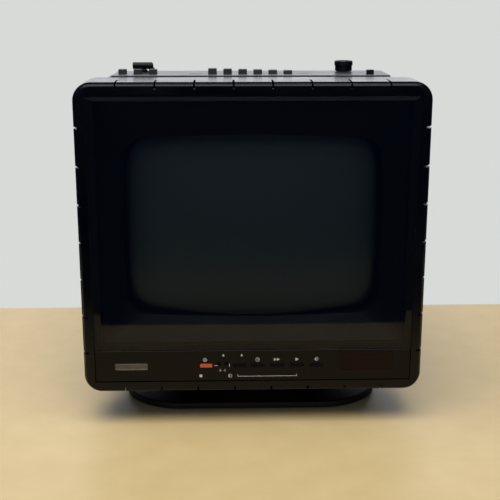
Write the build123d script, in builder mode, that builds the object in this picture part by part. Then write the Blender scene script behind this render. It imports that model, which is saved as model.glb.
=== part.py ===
"""Ten-inch portable television with clock, swivel base and telescopic aerial, as an assembly of parts."""
from build123d import *
from math import cos, radians, sin
import os

os.makedirs("parts", exist_ok=True)

# Driving dimensions of the cabinet, mm. Depths count back from the face of the front frame and
# heights count up from a level base_gap above the table, just above the frame's underside.
frame_w, frame_h, frame_d = 289, 263.6, 50
frame_low = -1.6
frame_mid = frame_low + frame_h / 2
frame_corner = 15
frame_step = 1.5             # the front land stands this much inside the outer wall
frame_shell = 3
rim_thick, rim_deep = 8.5, 27        # the rim is thicker as far back as the notches reach
face_w, face_low, face_high = 269.6, 8.6, 252.8    # opening that takes the filter and the strip
base_gap = 31
filter_w, filter_low, filter_high = 268, 37.2, 252.2
filter_proud, filter_bevel = 1.2, 5
depth_total = 286.2
front_y = -depth_total / 2 + filter_proud
wall = 2.5

# Notches across the rim of the frame
notch_w, notch_deep, notch_long = 1.6, 5.4, 24
notch_columns, notch_rows = 8, 7
notch_pitch_x, notch_pitch_z = 31.4, 31.8
notch_mid_z = 130.4

# Picture tube, ten inch
tube_z = 139.3               # height of the tube's axis
tube_face_y = 15             # middle of the face behind the frame's face
tube_sphere = 480
tube_w, tube_h, tube_bow = 234, 180, 3
screen_w, screen_h, screen_bow = 212, 150, 3.6
neck_r = 14.5
funnel_end, neck_start, neck_end = 128, 150, 243.5
band_thick, band_front, band_back = 2.2, 38, 58

# Ledge behind the filter, and the funnel-shaped mask that runs back from it to the tube
ledge_w, ledge_h, ledge_mid, ledge_front, ledge_back = 257, 206, 144.5, 1.8, 5
mask_end, mask_back, mask_wall = 20, 34, 2.5

# Bosses that hold the tube and the back
tube_post_x, tube_post_z, tube_post_back = 134.5, 80, 36
back_post_x, back_post_z, back_post_mid = 127, 105, 132.7
pilot_r = 1.9

# Rear cabinet: a straight box, then a taper to the back
box_w, box_low, box_top, box_corner = 276, 4, 261, 24
taper_from, rear_w, rear_top, rear_corner = 118, 186, 212, 20
rear_y = depth_total - filter_proud
speaker_y, speaker_z = 84, 150
inlet_at, aerial_socket_at, earphone_at = (-52, 34), (48, 34), (20, 34)
inlet_w, inlet_h, aerial_socket_r, earphone_r = 24, 17, 7, 4.5
socket_long = 16

# Swivel base
base_w, base_d, base_corner, base_front = 231, 184, 53, 29
feet_x, feet_y = 87, 70
foot_h, rim_top = 1.5, 7
swivel_depth = base_front + base_d / 2
tower_r, tower_top = 66, 24

# Control strip below the filter
strip_w, strip_low, strip_high = 268.8, 9, 36.4
key_z, key_w, key_h, key_travel = 22.8, 11.2, 3.2, 1.2
clock_key_x = (-11.9, 3.7, 20.7, 37.4, 53.9)
stop_key_x, stop_key_w = -40.2, 10.4
slider_x, slider_z, slider_travel = -26.2, 24.8, 3
window_x, window_w, window_low, window_high = 95.7, 47, 17.6, 34.2

# Controls on the top
panel_w, panel_front, panel_back = 238, 62, 114
panel_flange, panel_top = 1.2, 262.4
mark_slots, mark_slot_w, mark_slot_h = ((-48, 80), (45.2, 80)), 11.4, 2.2
button_pitch, button_y, button_depth = 13.15, 83, 7
push_x = (-111.4, -98.2, -85.0)
push_w, push_top = 7, 266.3
preset_x0, preset_w, preset_top, preset_drop = -33.3, 7.4, 266.9, 0.35
press_travel = 2.5
mute_x, mute_y, mute_w, mute_d, mute_top = 103.5, 75.5, 6.2, 5, 266
knob_x, knob_y, knob_r, knob_cap_r = 83.8, 105, 7.5, 8.1
knob_low, knob_mid, knob_top = 262.8, 267.6, 271.8

# Telescopic aerial, lying back along the top
aerial_x, aerial_y, hinge_z = -94, 100, 268
mast_x = -89.35
mast_slope = 10              # degrees below level when stowed
mast_r, knuckle_r, collar_low = 2.55, 3, 250
swivel_r, swivel_left, pin_r = 1.7, -104, 1.2
cheek = 2.6                  # half the thickness of the mast's knuckle
mast_len = 146
section_r = (2.2, 1.8, 1.4)
section_travel = 120
fit = 0.05                   # radial running clearance


def front(depth):
    """Upright plane facing the viewer, that far behind the frame's face; its y is height."""
    return Plane(origin=(0, front_y + depth, base_gap), x_dir=(1, 0, 0), z_dir=(0, -1, 0))


def level(height):
    """Level plane at a height above the frame's underside; its y is depth behind the face."""
    return Plane(origin=(0, front_y, base_gap + height))


def table(height):
    """Level plane at a height above the table, centred on the swivel axis."""
    return Plane(origin=(0, front_y + swivel_depth, height))


def side(x):
    """Upright plane facing the viewer's right; its x is depth and its y is height."""
    return Plane(origin=(x, front_y, base_gap), x_dir=(0, 1, 0), z_dir=(1, 0, 0))


def barrel(width, height, bow, corner):
    """Screen outline: four sides that bow outwards and round corners."""
    w, h = width / 2, height / 2
    with BuildSketch() as outline:
        with BuildLine():
            ThreePointArc((-w, -h), (0, -h - bow), (w, -h))
            ThreePointArc((w, -h), (w + bow, 0), (w, h))
            ThreePointArc((w, h), (0, h + bow), (-w, h))
            ThreePointArc((-w, h), (-w - bow, 0), (-w, -h))
        make_face()
        fillet(outline.vertices(), corner)
    return outline.sketch


def save(piece, label):
    """Label a finished piece and write it as its own STEP file."""
    piece.part.label = label
    export_step(piece.part, f"parts/{label}.step")


# ---------------------------------------------------------------- swivel base
with BuildPart() as base_plate:
    with BuildSketch(table(foot_h)):
        RectangleRounded(base_w, base_d, base_corner)
    extrude(amount=rim_top - foot_h)
    fillet(base_plate.faces().sort_by(Axis.Z)[-1].edges(), 2.2)
    with BuildSketch(table(rim_top - 1.6)):
        RectangleRounded(base_w - 12, base_d - 12, base_corner - 6)
    extrude(amount=1.6, mode=Mode.SUBTRACT)
    with BuildSketch(table(rim_top - 2)):
        Circle(tower_r + 24)
    with BuildSketch(table(tower_top)):
        Circle(tower_r)
    loft()
    with BuildSketch(table(tower_top)):
        Circle(10)
    extrude(amount=18)
    with BuildSketch(table(foot_h)):
        Circle(tower_r + 14)
    with BuildSketch(table(tower_top - 3)):
        Circle(tower_r - 6)
    loft(mode=Mode.SUBTRACT)
    with BuildSketch(table(tower_top - 4)):
        Circle(4)
    extrude(amount=24, mode=Mode.SUBTRACT)
save(base_plate, "base_plate")

with BuildPart() as base_feet:
    with BuildSketch(table(0)):
        with GridLocations(2 * feet_x, 2 * feet_y, 2, 2):
            Circle(9)
    extrude(amount=foot_h)
    chamfer(base_feet.edges().group_by(Axis.Z)[0], 0.5)
save(base_feet, "base_feet")

with BuildPart() as glide_ring:
    with BuildSketch(table(tower_top)):
        Circle(tower_r - 4)
        Circle(tower_r - 16, mode=Mode.SUBTRACT)
    extrude(amount=1.5)
save(glide_ring, "glide_ring")

with BuildPart() as pivot_stud:
    with BuildSketch(table(tower_top - 8)):
        RegularPolygon(8, 6)
    extrude(amount=4.9)
    with BuildSketch(table(tower_top - 3.1)):
        Circle(3.9)
    extrude(amount=27.1)
    chamfer(pivot_stud.edges().sort_by(Axis.Z)[-1], 0.8)
save(pivot_stud, "pivot_stud")

with BuildPart() as pivot_nut:
    with BuildSketch(table(tower_top + 18)):
        Circle(17)
        Circle(3.9, mode=Mode.SUBTRACT)
    extrude(amount=1.6)
    with BuildSketch(table(tower_top + 19.6)):
        RegularPolygon(7.5, 6)
        Circle(3.9, mode=Mode.SUBTRACT)
    extrude(amount=5)
save(pivot_nut, "pivot_nut")

with BuildPart() as turntable:
    with BuildSketch(table(tower_top + 1.55)):
        Circle(tower_r + 2)
    extrude(amount=base_gap + box_low - tower_top - 1.55)
    fillet(turntable.edges().sort_by(Axis.Z)[0], 2)
    with BuildSketch(table(base_gap + box_low)):
        Circle(20)
    extrude(amount=6.9)
    with BuildSketch(table(tower_top)):
        Circle(10 + fit)
    extrude(amount=30, mode=Mode.SUBTRACT)
save(turntable, "turntable")

# ---------------------------------------------------------------- front frame
tube_posts = [(sx * tube_post_x, tube_z + sz * tube_post_z) for sx in (-1, 1) for sz in (-1, 1)]
back_posts = [(sx * back_post_x, back_post_mid + sz * back_post_z) for sx in (-1, 1) for sz in (-1, 1)]
face_mid = (face_low + face_high) / 2
with BuildPart() as front_frame:
    with BuildSketch(front(0)):
        with Locations((0, frame_mid)):
            RectangleRounded(frame_w - 2 * frame_step, frame_h - 2 * frame_step, frame_corner - frame_step)
    extrude(amount=-6)
    fillet(front_frame.faces().sort_by(Axis.Y)[0].edges(), 2)
    with BuildSketch(front(5)):
        with Locations((0, frame_mid)):
            RectangleRounded(frame_w, frame_h, frame_corner)
    extrude(amount=5 - frame_d)
    fillet(front_frame.faces().sort_by(Axis.Y)[-1].edges(), 1.2)
    with BuildSketch(front(0)):
        with Locations((0, face_mid)):
            Rectangle(face_w, face_high - face_low)
    extrude(amount=-9, mode=Mode.SUBTRACT)
    for start, thick in ((8, rim_thick), (rim_deep, frame_shell)):
        with BuildSketch(front(start)):
            with Locations((0, frame_mid)):
                RectangleRounded(frame_w - 2 * thick, frame_h - 2 * thick, frame_corner - thick)
        extrude(amount=-frame_d, mode=Mode.SUBTRACT)
    with BuildSketch(front(ledge_front)):
        with Locations((0, face_mid)):
            Rectangle(face_w + 1, face_high - face_low + 1)
        with Locations((0, ledge_mid)):
            Rectangle(ledge_w, ledge_h, mode=Mode.SUBTRACT)
        with Locations((0, 22.5)):
            Rectangle(254, 19, mode=Mode.SUBTRACT)
    extrude(amount=ledge_front - ledge_back)
    with BuildSketch(front(ledge_back)):
        with Locations(*tube_posts):
            Circle(4.5)
    extrude(amount=ledge_back - tube_post_back)
    with BuildSketch(front(38)):
        with Locations(*[(x + (4.2 if x > 0 else -4.2), z) for x, z in back_posts]):
            Rectangle(19.4, 12)
    extrude(amount=-8)
    with BuildSketch(front(20)):
        with Locations(*tube_posts):
            Circle(pilot_r)
    extrude(amount=-20, mode=Mode.SUBTRACT)
    with BuildSketch(front(37)):
        with Locations(*back_posts):
            Circle(pilot_r)
    extrude(amount=-10, mode=Mode.SUBTRACT)
    with BuildSketch(front(0)):
        with Locations((0, frame_low + frame_h), (0, frame_low)):
            with GridLocations(notch_pitch_x, 0, notch_columns, 1):
                Rectangle(notch_w, 2 * notch_deep)
        with Locations((-frame_w / 2, notch_mid_z), (frame_w / 2, notch_mid_z)):
            with GridLocations(0, notch_pitch_z, 1, notch_rows):
                Rectangle(2 * notch_deep, notch_w)
    extrude(amount=-notch_long, mode=Mode.SUBTRACT)
save(front_frame, "front_frame")

with BuildPart() as filter_panel:
    with BuildSketch(front(-0.1)):
        with Locations((0, (filter_low + filter_high) / 2)):
            Rectangle(filter_w, filter_high - filter_low)
    extrude(amount=-1.9)
    with BuildSketch(front(-0.1)):
        with Locations((0, (filter_low + filter_high) / 2)):
            Rectangle(filter_w, filter_high - filter_low)
    with BuildSketch(front(-filter_proud)):
        with Locations((0, (filter_low + filter_high) / 2)):
            Rectangle(filter_w - 2 * filter_bevel, filter_high - filter_low - 2 * filter_bevel)
    loft()
save(filter_panel, "filter_panel")

with BuildPart() as tube_mask:
    with BuildSketch(front(ledge_back)):
        with Locations((0, ledge_mid)):
            Rectangle(ledge_w + 1.6, ledge_h + 3)
    extrude(amount=-2)
    with BuildSketch(front(ledge_back + 2)):
        with Locations((0, ledge_mid)):
            RectangleRounded(ledge_w, ledge_h, 4)
    with BuildSketch(front(mask_end + mask_wall)):
        with Locations((0, tube_z)):
            add(barrel(screen_w + 2 * mask_wall, screen_h + 2 * mask_wall, screen_bow, 17))
    loft()
    with BuildSketch(front(mask_end + mask_wall)):
        with Locations((0, tube_z)):
            add(barrel(screen_w + 2 * mask_wall, screen_h + 2 * mask_wall, screen_bow, 17))
    extrude(amount=mask_end + mask_wall - mask_back)
    with BuildSketch(front(ledge_back - 0.01)):
        with Locations((0, ledge_mid)):
            RectangleRounded(ledge_w - 4, ledge_h - 4, 2)
    with BuildSketch(front(mask_end)):
        with Locations((0, tube_z)):
            add(barrel(screen_w, screen_h, screen_bow, 15))
    loft(mode=Mode.SUBTRACT)
    with BuildSketch(front(mask_end)):
        with Locations((0, tube_z)):
            add(barrel(screen_w, screen_h, screen_bow, 15))
    extrude(amount=mask_end - mask_back - 1, mode=Mode.SUBTRACT)
    with Locations((0, front_y + tube_face_y + tube_sphere, base_gap + tube_z)):
        Sphere(tube_sphere + 0.4, mode=Mode.SUBTRACT)
save(tube_mask, "tube_mask")

# ---------------------------------------------------------------- picture tube
with BuildPart() as picture_tube:
    with BuildSketch(front(tube_face_y - 2)):
        with Locations((0, tube_z)):
            add(barrel(tube_w, tube_h, tube_bow, 24))
    extrude(amount=tube_face_y - 2 - 62)
    with Locations((0, front_y + tube_face_y + tube_sphere, base_gap + tube_z)):
        Sphere(tube_sphere, mode=Mode.INTERSECT)
    with BuildSketch(front(62)):
        with Locations((0, tube_z)):
            RectangleRounded(tube_w - 6, tube_h - 6, 24)
    with BuildSketch(front(96)):
        with Locations((0, tube_z)):
            RectangleRounded(150, 126, 44)
    with BuildSketch(front(funnel_end)):
        with Locations((0, tube_z)):
            RectangleRounded(80.2, 80.2, 40)
    loft(ruled=True)
    with BuildSketch(front(funnel_end)):
        with Locations((0, tube_z)):
            Circle(40)
    with BuildSketch(front(neck_start)):
        with Locations((0, tube_z)):
            Circle(neck_r)
    loft()
    with BuildSketch(front(neck_start - 0.5)):
        with Locations((0, tube_z)):
            Circle(neck_r)
    extrude(amount=neck_start - 0.5 - neck_end)
    fillet(picture_tube.faces().sort_by(Axis.Y)[-1].edges(), 3)
save(picture_tube, "picture_tube")

with BuildPart() as rim_band:
    with BuildSketch(front(band_front)):
        with Locations((0, tube_z)):
            add(barrel(tube_w + 2 * band_thick, tube_h + 2 * band_thick, tube_bow, 26))
    extrude(amount=band_front - band_back)
    with BuildSketch(front(tube_post_back)):
        with Locations(*[(x - (8.3 if x > 0 else -8.3), z) for x, z in tube_posts]):
            RectangleRounded(26.4, 14, 3)
    extrude(amount=-band_thick)
    with BuildSketch(front(35)):
        with Locations((0, tube_z)):
            add(barrel(tube_w + 0.4, tube_h + 0.4, tube_bow, 24))
        with Locations(*tube_posts):
            Circle(2.4)
    extrude(amount=-30, mode=Mode.SUBTRACT)
save(rim_band, "rim_band")

with BuildPart() as tube_screws:
    with BuildSketch(front(tube_post_back + band_thick)):
        with Locations(*tube_posts):
            RegularPolygon(4.4, 6)
    extrude(amount=-3.4)
    with BuildSketch(front(tube_post_back + band_thick)):
        with Locations(*tube_posts):
            Circle(pilot_r)
    extrude(amount=17.5)
save(tube_screws, "tube_screws")

with BuildPart() as deflection_yoke:
    with BuildSketch(Plane(origin=(0, front_y, base_gap + tube_z), x_dir=(1, 0, 0), z_dir=(0, 0, 1))):
        with BuildLine():
            Polyline((41.8, 128.2), (57, 128.2), (57, 134), (46, 139), (40, 160), (40, 166), (15.2, 166),
                     (15.2, 151.2), close=True)
        make_face()
    revolve(axis=Axis((0, front_y, base_gap + tube_z), (0, 1, 0)))
save(deflection_yoke, "deflection_yoke")

with BuildPart() as tube_socket:
    with BuildSketch(front(244)):
        with Locations((0, tube_z)):
            Circle(17)
    extrude(amount=-9)
    with BuildSketch(front(243.5)):
        with Locations((0, tube_z)):
            Circle(neck_r + 0.2)
    extrude(amount=-2.2, mode=Mode.SUBTRACT)
save(tube_socket, "tube_socket")

with BuildPart() as neck_board:
    with BuildSketch(front(253)):
        with Locations((0, tube_z + 6)):
            RectangleRounded(78, 84, 3)
    extrude(amount=-1.6)
save(neck_board, "neck_board")

# ---------------------------------------------------------------- rear cabinet
def cabinet_form(inset, start, end):
    """Solid of the rear cabinet's form, drawn in by the inset all round, between two depths."""
    with BuildPart() as form:
        with BuildSketch(front(start)):
            with Locations((0, (box_low + box_top) / 2)):
                RectangleRounded(box_w - 2 * inset, box_top - box_low - 2 * inset, box_corner - inset)
        extrude(amount=start - taper_from)
        with BuildSketch(front(taper_from)):
            with Locations((0, (box_low + box_top) / 2)):
                RectangleRounded(box_w - 2 * inset, box_top - box_low - 2 * inset, box_corner - inset)
        with BuildSketch(front(end)):
            with Locations((0, (box_low + rear_top) / 2)):
                RectangleRounded(rear_w - 2 * inset, rear_top - box_low - 2 * inset, rear_corner - inset)
        loft()
    return form.part


lip = 4                      # the cabinet's lip enters the frame by this much
cabinet_solid = cabinet_form(0, frame_d, rear_y)
cabinet_hollow = cabinet_form(wall, frame_d - 1, rear_y - wall)
cabinet_reach = cabinet_form(0, frame_d - lip, rear_y)
board_posts = [(x, y) for x in (-92, 92) for y in (76, 190)]
grip_w, grip_front, grip_back, grip_low, grip_lip = 96, 122, 150, 232, 4

with BuildPart() as cabinet_inner:
    with BuildSketch(front(frame_d - lip)):
        with Locations(*back_posts):
            Circle(6.5)
    extrude(amount=-110)
    with BuildSketch(level(box_low)):
        with Locations(*board_posts):
            Circle(4.5)
    extrude(amount=10)
    with BuildSketch(level(grip_low - wall)):
        with Locations((0, (grip_front - grip_lip + grip_back) / 2)):
            Rectangle(grip_w + 2 * wall, grip_back - grip_front + grip_lip + 2 * wall)
    extrude(amount=40)
    add(cabinet_reach, mode=Mode.INTERSECT)

with BuildPart() as rear_cabinet:
    add(cabinet_solid)
    add(cabinet_hollow, mode=Mode.SUBTRACT)
    with BuildSketch(front(frame_d - lip)):
        with Locations((0, (box_low + box_top) / 2)):
            RectangleRounded(box_w - 4.6, box_top - box_low - 4.6, box_corner - 2.3)
            RectangleRounded(box_w - 8.6, box_top - box_low - 8.6, box_corner - 4.3, mode=Mode.SUBTRACT)
    extrude(amount=-lip - 2)
    add(cabinet_inner.part)
    # wells for the back screws
    with BuildSketch(front(58)):
        with Locations(*back_posts):
            Circle(4.2)
    extrude(amount=-120, mode=Mode.SUBTRACT)
    with BuildSketch(front(frame_d - 5)):
        with Locations(*back_posts):
            Circle(2.2)
    extrude(amount=-20, mode=Mode.SUBTRACT)
    # hand grip: a pocket open at the top, with a lip at the front for the fingertips
    with BuildSketch(level(grip_low)):
        with Locations((0, (grip_front + grip_back) / 2)):
            Rectangle(grip_w, grip_back - grip_front)
    extrude(amount=60, mode=Mode.SUBTRACT)
    with BuildSketch(level(grip_low)):
        with Locations((0, grip_front - grip_lip / 2)):
            Rectangle(grip_w, grip_lip + 0.1)
    extrude(amount=20, mode=Mode.SUBTRACT)
    # hole for the turntable's sleeve
    with BuildSketch(table(base_gap)):
        Circle(20)
    extrude(amount=10, mode=Mode.SUBTRACT)
    # seat of the top panel
    with BuildSketch(level(box_top - wall - 1)):
        with Locations((0, (panel_front + panel_back) / 2)):
            Rectangle(panel_w + 0.4, panel_back - panel_front + 0.4)
    extrude(amount=10, mode=Mode.SUBTRACT)
    # vents: long slots on the slope of the top and in the floor
    with BuildSketch(level(box_top + 5)):
        with Locations((0, 212)):
            with GridLocations(9, 0, 17, 1):
                SlotOverall(88, 3.2, rotation=90)
    extrude(amount=-70, mode=Mode.SUBTRACT)
    with BuildSketch(level(-1)):
        with Locations((0, 232)):
            with GridLocations(9, 0, 15, 1):
                SlotOverall(44, 3.2, rotation=90)
    extrude(amount=12, mode=Mode.SUBTRACT)
    # vents in both sloping sides, and the loudspeaker's slots in the straight right-hand side
    with BuildSketch(side(-box_w)):
        with Locations((205, 105)):
            with GridLocations(0, 9, 1, 13):
                SlotOverall(70, 3.2)
    extrude(amount=2 * box_w, mode=Mode.SUBTRACT)
    with BuildSketch(side(box_w / 2 - 5)):
        with Locations((speaker_y, speaker_z)):
            with GridLocations(0, 5.2, 1, 11):
                SlotOverall(52, 2.2)
    extrude(amount=10, mode=Mode.SUBTRACT)
    # sockets in the back
    with BuildSketch(front(rear_y - 10)):
        with Locations(inlet_at):
            Rectangle(inlet_w + 0.4, inlet_h + 0.4)
        with Locations(aerial_socket_at):
            Circle(aerial_socket_r + 0.1)
        with Locations(earphone_at):
            Circle(earphone_r + 0.1)
    extrude(amount=-20, mode=Mode.SUBTRACT)
save(rear_cabinet, "rear_cabinet")

with BuildPart() as cabinet_screws:
    with BuildSketch(front(58)):
        with Locations(*back_posts):
            Circle(3.9)
    extrude(amount=-2.6)
    with BuildSketch(front(60.6)):
        with Locations(*back_posts):
            Rectangle(5, 1)
            Rectangle(1, 5)
    extrude(amount=1.4, mode=Mode.SUBTRACT)
    with BuildSketch(front(58)):
        with Locations(*back_posts):
            Circle(1.8)
    extrude(amount=19)
save(cabinet_screws, "cabinet_screws")

# ---------------------------------------------------------------- sockets in the back
with BuildPart() as mains_inlet:
    with BuildSketch(front(rear_y - socket_long)):
        with Locations(inlet_at):
            Rectangle(inlet_w, inlet_h)
    extrude(amount=-socket_long)
    with BuildSketch(front(rear_y - 12)):
        with Locations(inlet_at):
            SlotOverall(18.5, 8.5)
    extrude(amount=-12, mode=Mode.SUBTRACT)
    with BuildSketch(front(rear_y - 12)):
        with Locations(inlet_at):
            with GridLocations(8.6, 0, 2, 1):
                Circle(1.2)
    extrude(amount=-9)
save(mains_inlet, "mains_inlet")

with BuildPart() as aerial_socket:
    with BuildSketch(front(rear_y - socket_long)):
        with Locations(aerial_socket_at):
            Circle(aerial_socket_r)
    extrude(amount=-socket_long)
    with BuildSketch(front(rear_y - 11)):
        with Locations(aerial_socket_at):
            Circle(4.8)
            Circle(1.9, mode=Mode.SUBTRACT)
    extrude(amount=-11, mode=Mode.SUBTRACT)
    with BuildSketch(front(rear_y - 9)):
        with Locations(aerial_socket_at):
            Circle(1.2)
    extrude(amount=-9, mode=Mode.SUBTRACT)
save(aerial_socket, "aerial_socket")

with BuildPart() as earphone_jack:
    with BuildSketch(front(rear_y - socket_long)):
        with Locations(earphone_at):
            Circle(earphone_r)
    extrude(amount=-socket_long)
    with BuildSketch(front(rear_y - 14)):
        with Locations(earphone_at):
            Circle(1.8)
    extrude(amount=-14, mode=Mode.SUBTRACT)
save(earphone_jack, "earphone_jack")

# ---------------------------------------------------------------- electronics
board_low, board_thick = box_low + 10, 1.6
board_top = board_low + board_thick
line_coil_at, mains_coil_at, tuner_at = (76, 150), (-74, 196), (74, 200)
capacitor_at, sink_x = (-74, 150), 10
with BuildPart() as main_board:
    with BuildSketch(level(board_low)):
        with Locations((0, 140)):
            Rectangle(204, 150)
        with Locations((0, swivel_depth)):
            Circle(24, mode=Mode.SUBTRACT)
    extrude(amount=board_thick)
save(main_board, "main_board")

with BuildPart() as line_transformer:
    with BuildSketch(level(board_top)):
        with Locations(line_coil_at):
            RectangleRounded(34, 44, 4)
    extrude(amount=46)
    with BuildSketch(level(board_top + 46)):
        with Locations(line_coil_at):
            Circle(13)
    extrude(amount=12)
    with BuildSketch(side(93)):
        with Locations((138, board_top + 16), (138, board_top + 30)):
            Circle(4)
    extrude(amount=6)
save(line_transformer, "line_transformer")

with BuildPart() as mains_transformer:
    with BuildSketch(level(board_top)):
        with Locations(mains_coil_at):
            Rectangle(48, 20)
    extrude(amount=44)
    with BuildSketch(level(board_top + 8)):
        with Locations(mains_coil_at):
            RectangleRounded(32, 36, 3)
    extrude(amount=28)
save(mains_transformer, "mains_transformer")

with BuildPart() as heat_sink:
    with BuildSketch(level(board_top)):
        with Locations((sink_x, 206)):
            Rectangle(70, 2.4)
        with Locations((sink_x, 199)):
            with GridLocations(9.6, 0, 8, 1):
                Rectangle(1.6, 14)
    extrude(amount=42)
save(heat_sink, "heat_sink")

with BuildPart() as capacitor:
    with BuildSketch(level(board_top)):
        with Locations(capacitor_at):
            Circle(12.5)
    extrude(amount=40)
    fillet(capacitor.edges().sort_by(Axis.Z)[-1], 1.2)
save(capacitor, "capacitor")

with BuildPart() as tuner_can:
    with BuildSketch(level(board_top)):
        with Locations(tuner_at):
            Rectangle(46, 22)
    extrude(amount=24)
save(tuner_can, "tuner_can")

speaker_face = box_w / 2 - wall
with BuildPart() as speaker:
    with BuildSketch(side(speaker_face)):
        with Locations((speaker_y, speaker_z)):
            RectangleRounded(62, 72, 8)
            Circle(28.5, mode=Mode.SUBTRACT)
    extrude(amount=-1.6)
    with BuildSketch(side(speaker_face - 1.6)):
        with Locations((speaker_y, speaker_z)):
            Circle(30.5)
    with BuildSketch(side(speaker_face - 13)):
        with Locations((speaker_y, speaker_z)):
            Circle(17)
    loft()
    with BuildSketch(side(speaker_face - 1.6)):
        with Locations((speaker_y, speaker_z)):
            Circle(28.5)
    with BuildSketch(side(speaker_face - 11.5)):
        with Locations((speaker_y, speaker_z)):
            Circle(15)
    loft(mode=Mode.SUBTRACT)
    with BuildSketch(side(speaker_face - 13)):
        with Locations((speaker_y, speaker_z)):
            Circle(17)
    extrude(amount=-10)
save(speaker, "speaker")

with BuildPart() as speaker_cone:
    with BuildSketch(side(speaker_face - 1.7)):
        with Locations((speaker_y, speaker_z)):
            Circle(28)
    with BuildSketch(side(speaker_face - 11.4)):
        with Locations((speaker_y, speaker_z)):
            Circle(13.5)
    loft()
    with BuildSketch(side(speaker_face - 1.7)):
        with Locations((speaker_y, speaker_z)):
            Circle(26.2)
    with BuildSketch(side(speaker_face - 10.4)):
        with Locations((speaker_y, speaker_z)):
            Circle(12)
    loft(mode=Mode.SUBTRACT)
save(speaker_cone, "speaker_cone")

# ---------------------------------------------------------------- control strip and clock
with BuildPart() as control_strip:
    with BuildSketch(front(0.3)):
        with Locations((0, (strip_low + strip_high) / 2)):
            RectangleRounded(strip_w, strip_high - strip_low, 1)
    extrude(amount=-1.5)
    chamfer(control_strip.faces().sort_by(Axis.Y)[0].edges(), 0.3)
    with BuildSketch(front(0)):
        with Locations(*[(x, key_z) for x in clock_key_x]):
            RectangleRounded(key_w + 0.4, key_h + 0.4, 0.6)
        with Locations((stop_key_x, key_z)):
            RectangleRounded(stop_key_w + 0.4, key_h + 0.4, 0.6)
        with Locations((slider_x, slider_z)):
            RectangleRounded(2.2 + 2 * slider_travel + 0.6, 3.4, 0.6)
        with Locations((window_x, (window_low + window_high) / 2)):
            Rectangle(window_w, window_high - window_low)
    extrude(amount=-3, mode=Mode.SUBTRACT)
save(control_strip, "control_strip")

with BuildPart() as display_window:
    with BuildSketch(front(0.5)):
        with Locations((window_x, (window_low + window_high) / 2)):
            Rectangle(window_w - 0.2, window_high - window_low - 0.2)
    extrude(amount=-1.3)
save(display_window, "display_window")

with BuildPart() as display_module:
    with BuildSketch(front(2.4)):
        with Locations((window_x, 24)):
            Rectangle(44, 13)
    extrude(amount=-7)
save(display_module, "display_module")

with BuildPart() as clock_board:
    with BuildSketch(front(9.4)):
        with Locations((32, 22.5)):
            Rectangle(186, 22)
    extrude(amount=-1.6)
save(clock_board, "clock_board")

with BuildPart() as clock_switches:
    with BuildSketch(front(5.8)):
        with Locations(*[(x, key_z) for x in clock_key_x + (stop_key_x,)]):
            Rectangle(6, 6)
    extrude(amount=-3.6)
    with BuildSketch(front(5.2)):
        with Locations((slider_x, slider_z)):
            Rectangle(13, 7)
    extrude(amount=-4.2)
save(clock_switches, "clock_switches")


def front_key(x, width, label):
    """Bar key in the strip: a cap with rounded edges, a flange behind the strip and a stem."""
    with BuildPart() as key:
        with BuildSketch(front(-0.5)):
            with Locations((x, key_z)):
                RectangleRounded(width, key_h, 0.5)
        extrude(amount=-2.5)
        fillet(key.faces().sort_by(Axis.Y)[0].edges(), 0.4)
        with BuildSketch(front(2.0)):
            with Locations((x, key_z)):
                Rectangle(width + 2, key_h + 2)
        extrude(amount=-0.9)
        with BuildSketch(front(2.9)):
            with Locations((x, key_z)):
                Circle(1.5)
        extrude(amount=-1.6)
    save(key, label)


front_key(stop_key_x, stop_key_w, "stop_key")
for i, x in enumerate(clock_key_x, 1):
    front_key(x, key_w, f"clock_key_{i}")

with BuildPart() as alarm_slider:
    with BuildSketch(front(-filter_proud)):
        with Locations((slider_x, slider_z)):
            RectangleRounded(3.8, 8.6, 1)
    extrude(amount=-filter_proud)
    fillet(alarm_slider.faces().sort_by(Axis.Y)[0].edges(), 0.4)
    with BuildSketch(front(0)):
        with Locations((slider_x, slider_z)):
            Rectangle(2.2, 3)
    extrude(amount=-4.9)
    with BuildSketch(front(2.2)):
        with Locations((slider_x, slider_z)):
            Rectangle(7, 6)
    extrude(amount=-1.2)
save(alarm_slider, "alarm_slider")

# ---------------------------------------------------------------- top panel and its controls
preset_x = [preset_x0 + i * button_pitch for i in range(6)]
stem_w, stem_low, flange_drop, mute_stem_w = 4, 244, 3.6, 3
with BuildPart() as top_panel:
    with BuildSketch(level(box_top - wall)):
        with Locations((0, (panel_front + panel_back) / 2)):
            Rectangle(panel_w, panel_back - panel_front)
    extrude(amount=panel_top - box_top + wall)
    fillet(top_panel.faces().sort_by(Axis.Z)[-1].edges(), 0.6)
    with BuildSketch(level(box_top - wall - panel_flange)):
        with Locations((0, (panel_front + panel_back) / 2)):
            Rectangle(panel_w - 12, panel_back - panel_front + 2)
    extrude(amount=panel_flange)
    with BuildSketch(level(box_top - 10)):
        with Locations(*[(x, button_y) for x in push_x]):
            Rectangle(push_w + 0.5, button_depth + 0.5)
        with Locations(*[(x, button_y) for x in preset_x]):
            Rectangle(preset_w + 0.5, button_depth + 0.5)
        with Locations((mute_x, mute_y)):
            Rectangle(mute_w + 0.5, mute_d + 0.5)
        with Locations((knob_x, knob_y)):
            Circle(3.4)
        with Locations((aerial_x, aerial_y)):
            Circle(3.4)
    extrude(amount=20, mode=Mode.SUBTRACT)
    with BuildSketch(level(panel_top - 1)):
        with Locations(*mark_slots):
            SlotOverall(mark_slot_w, mark_slot_h)
    extrude(amount=2, mode=Mode.SUBTRACT)
save(top_panel, "top_panel")

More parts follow.
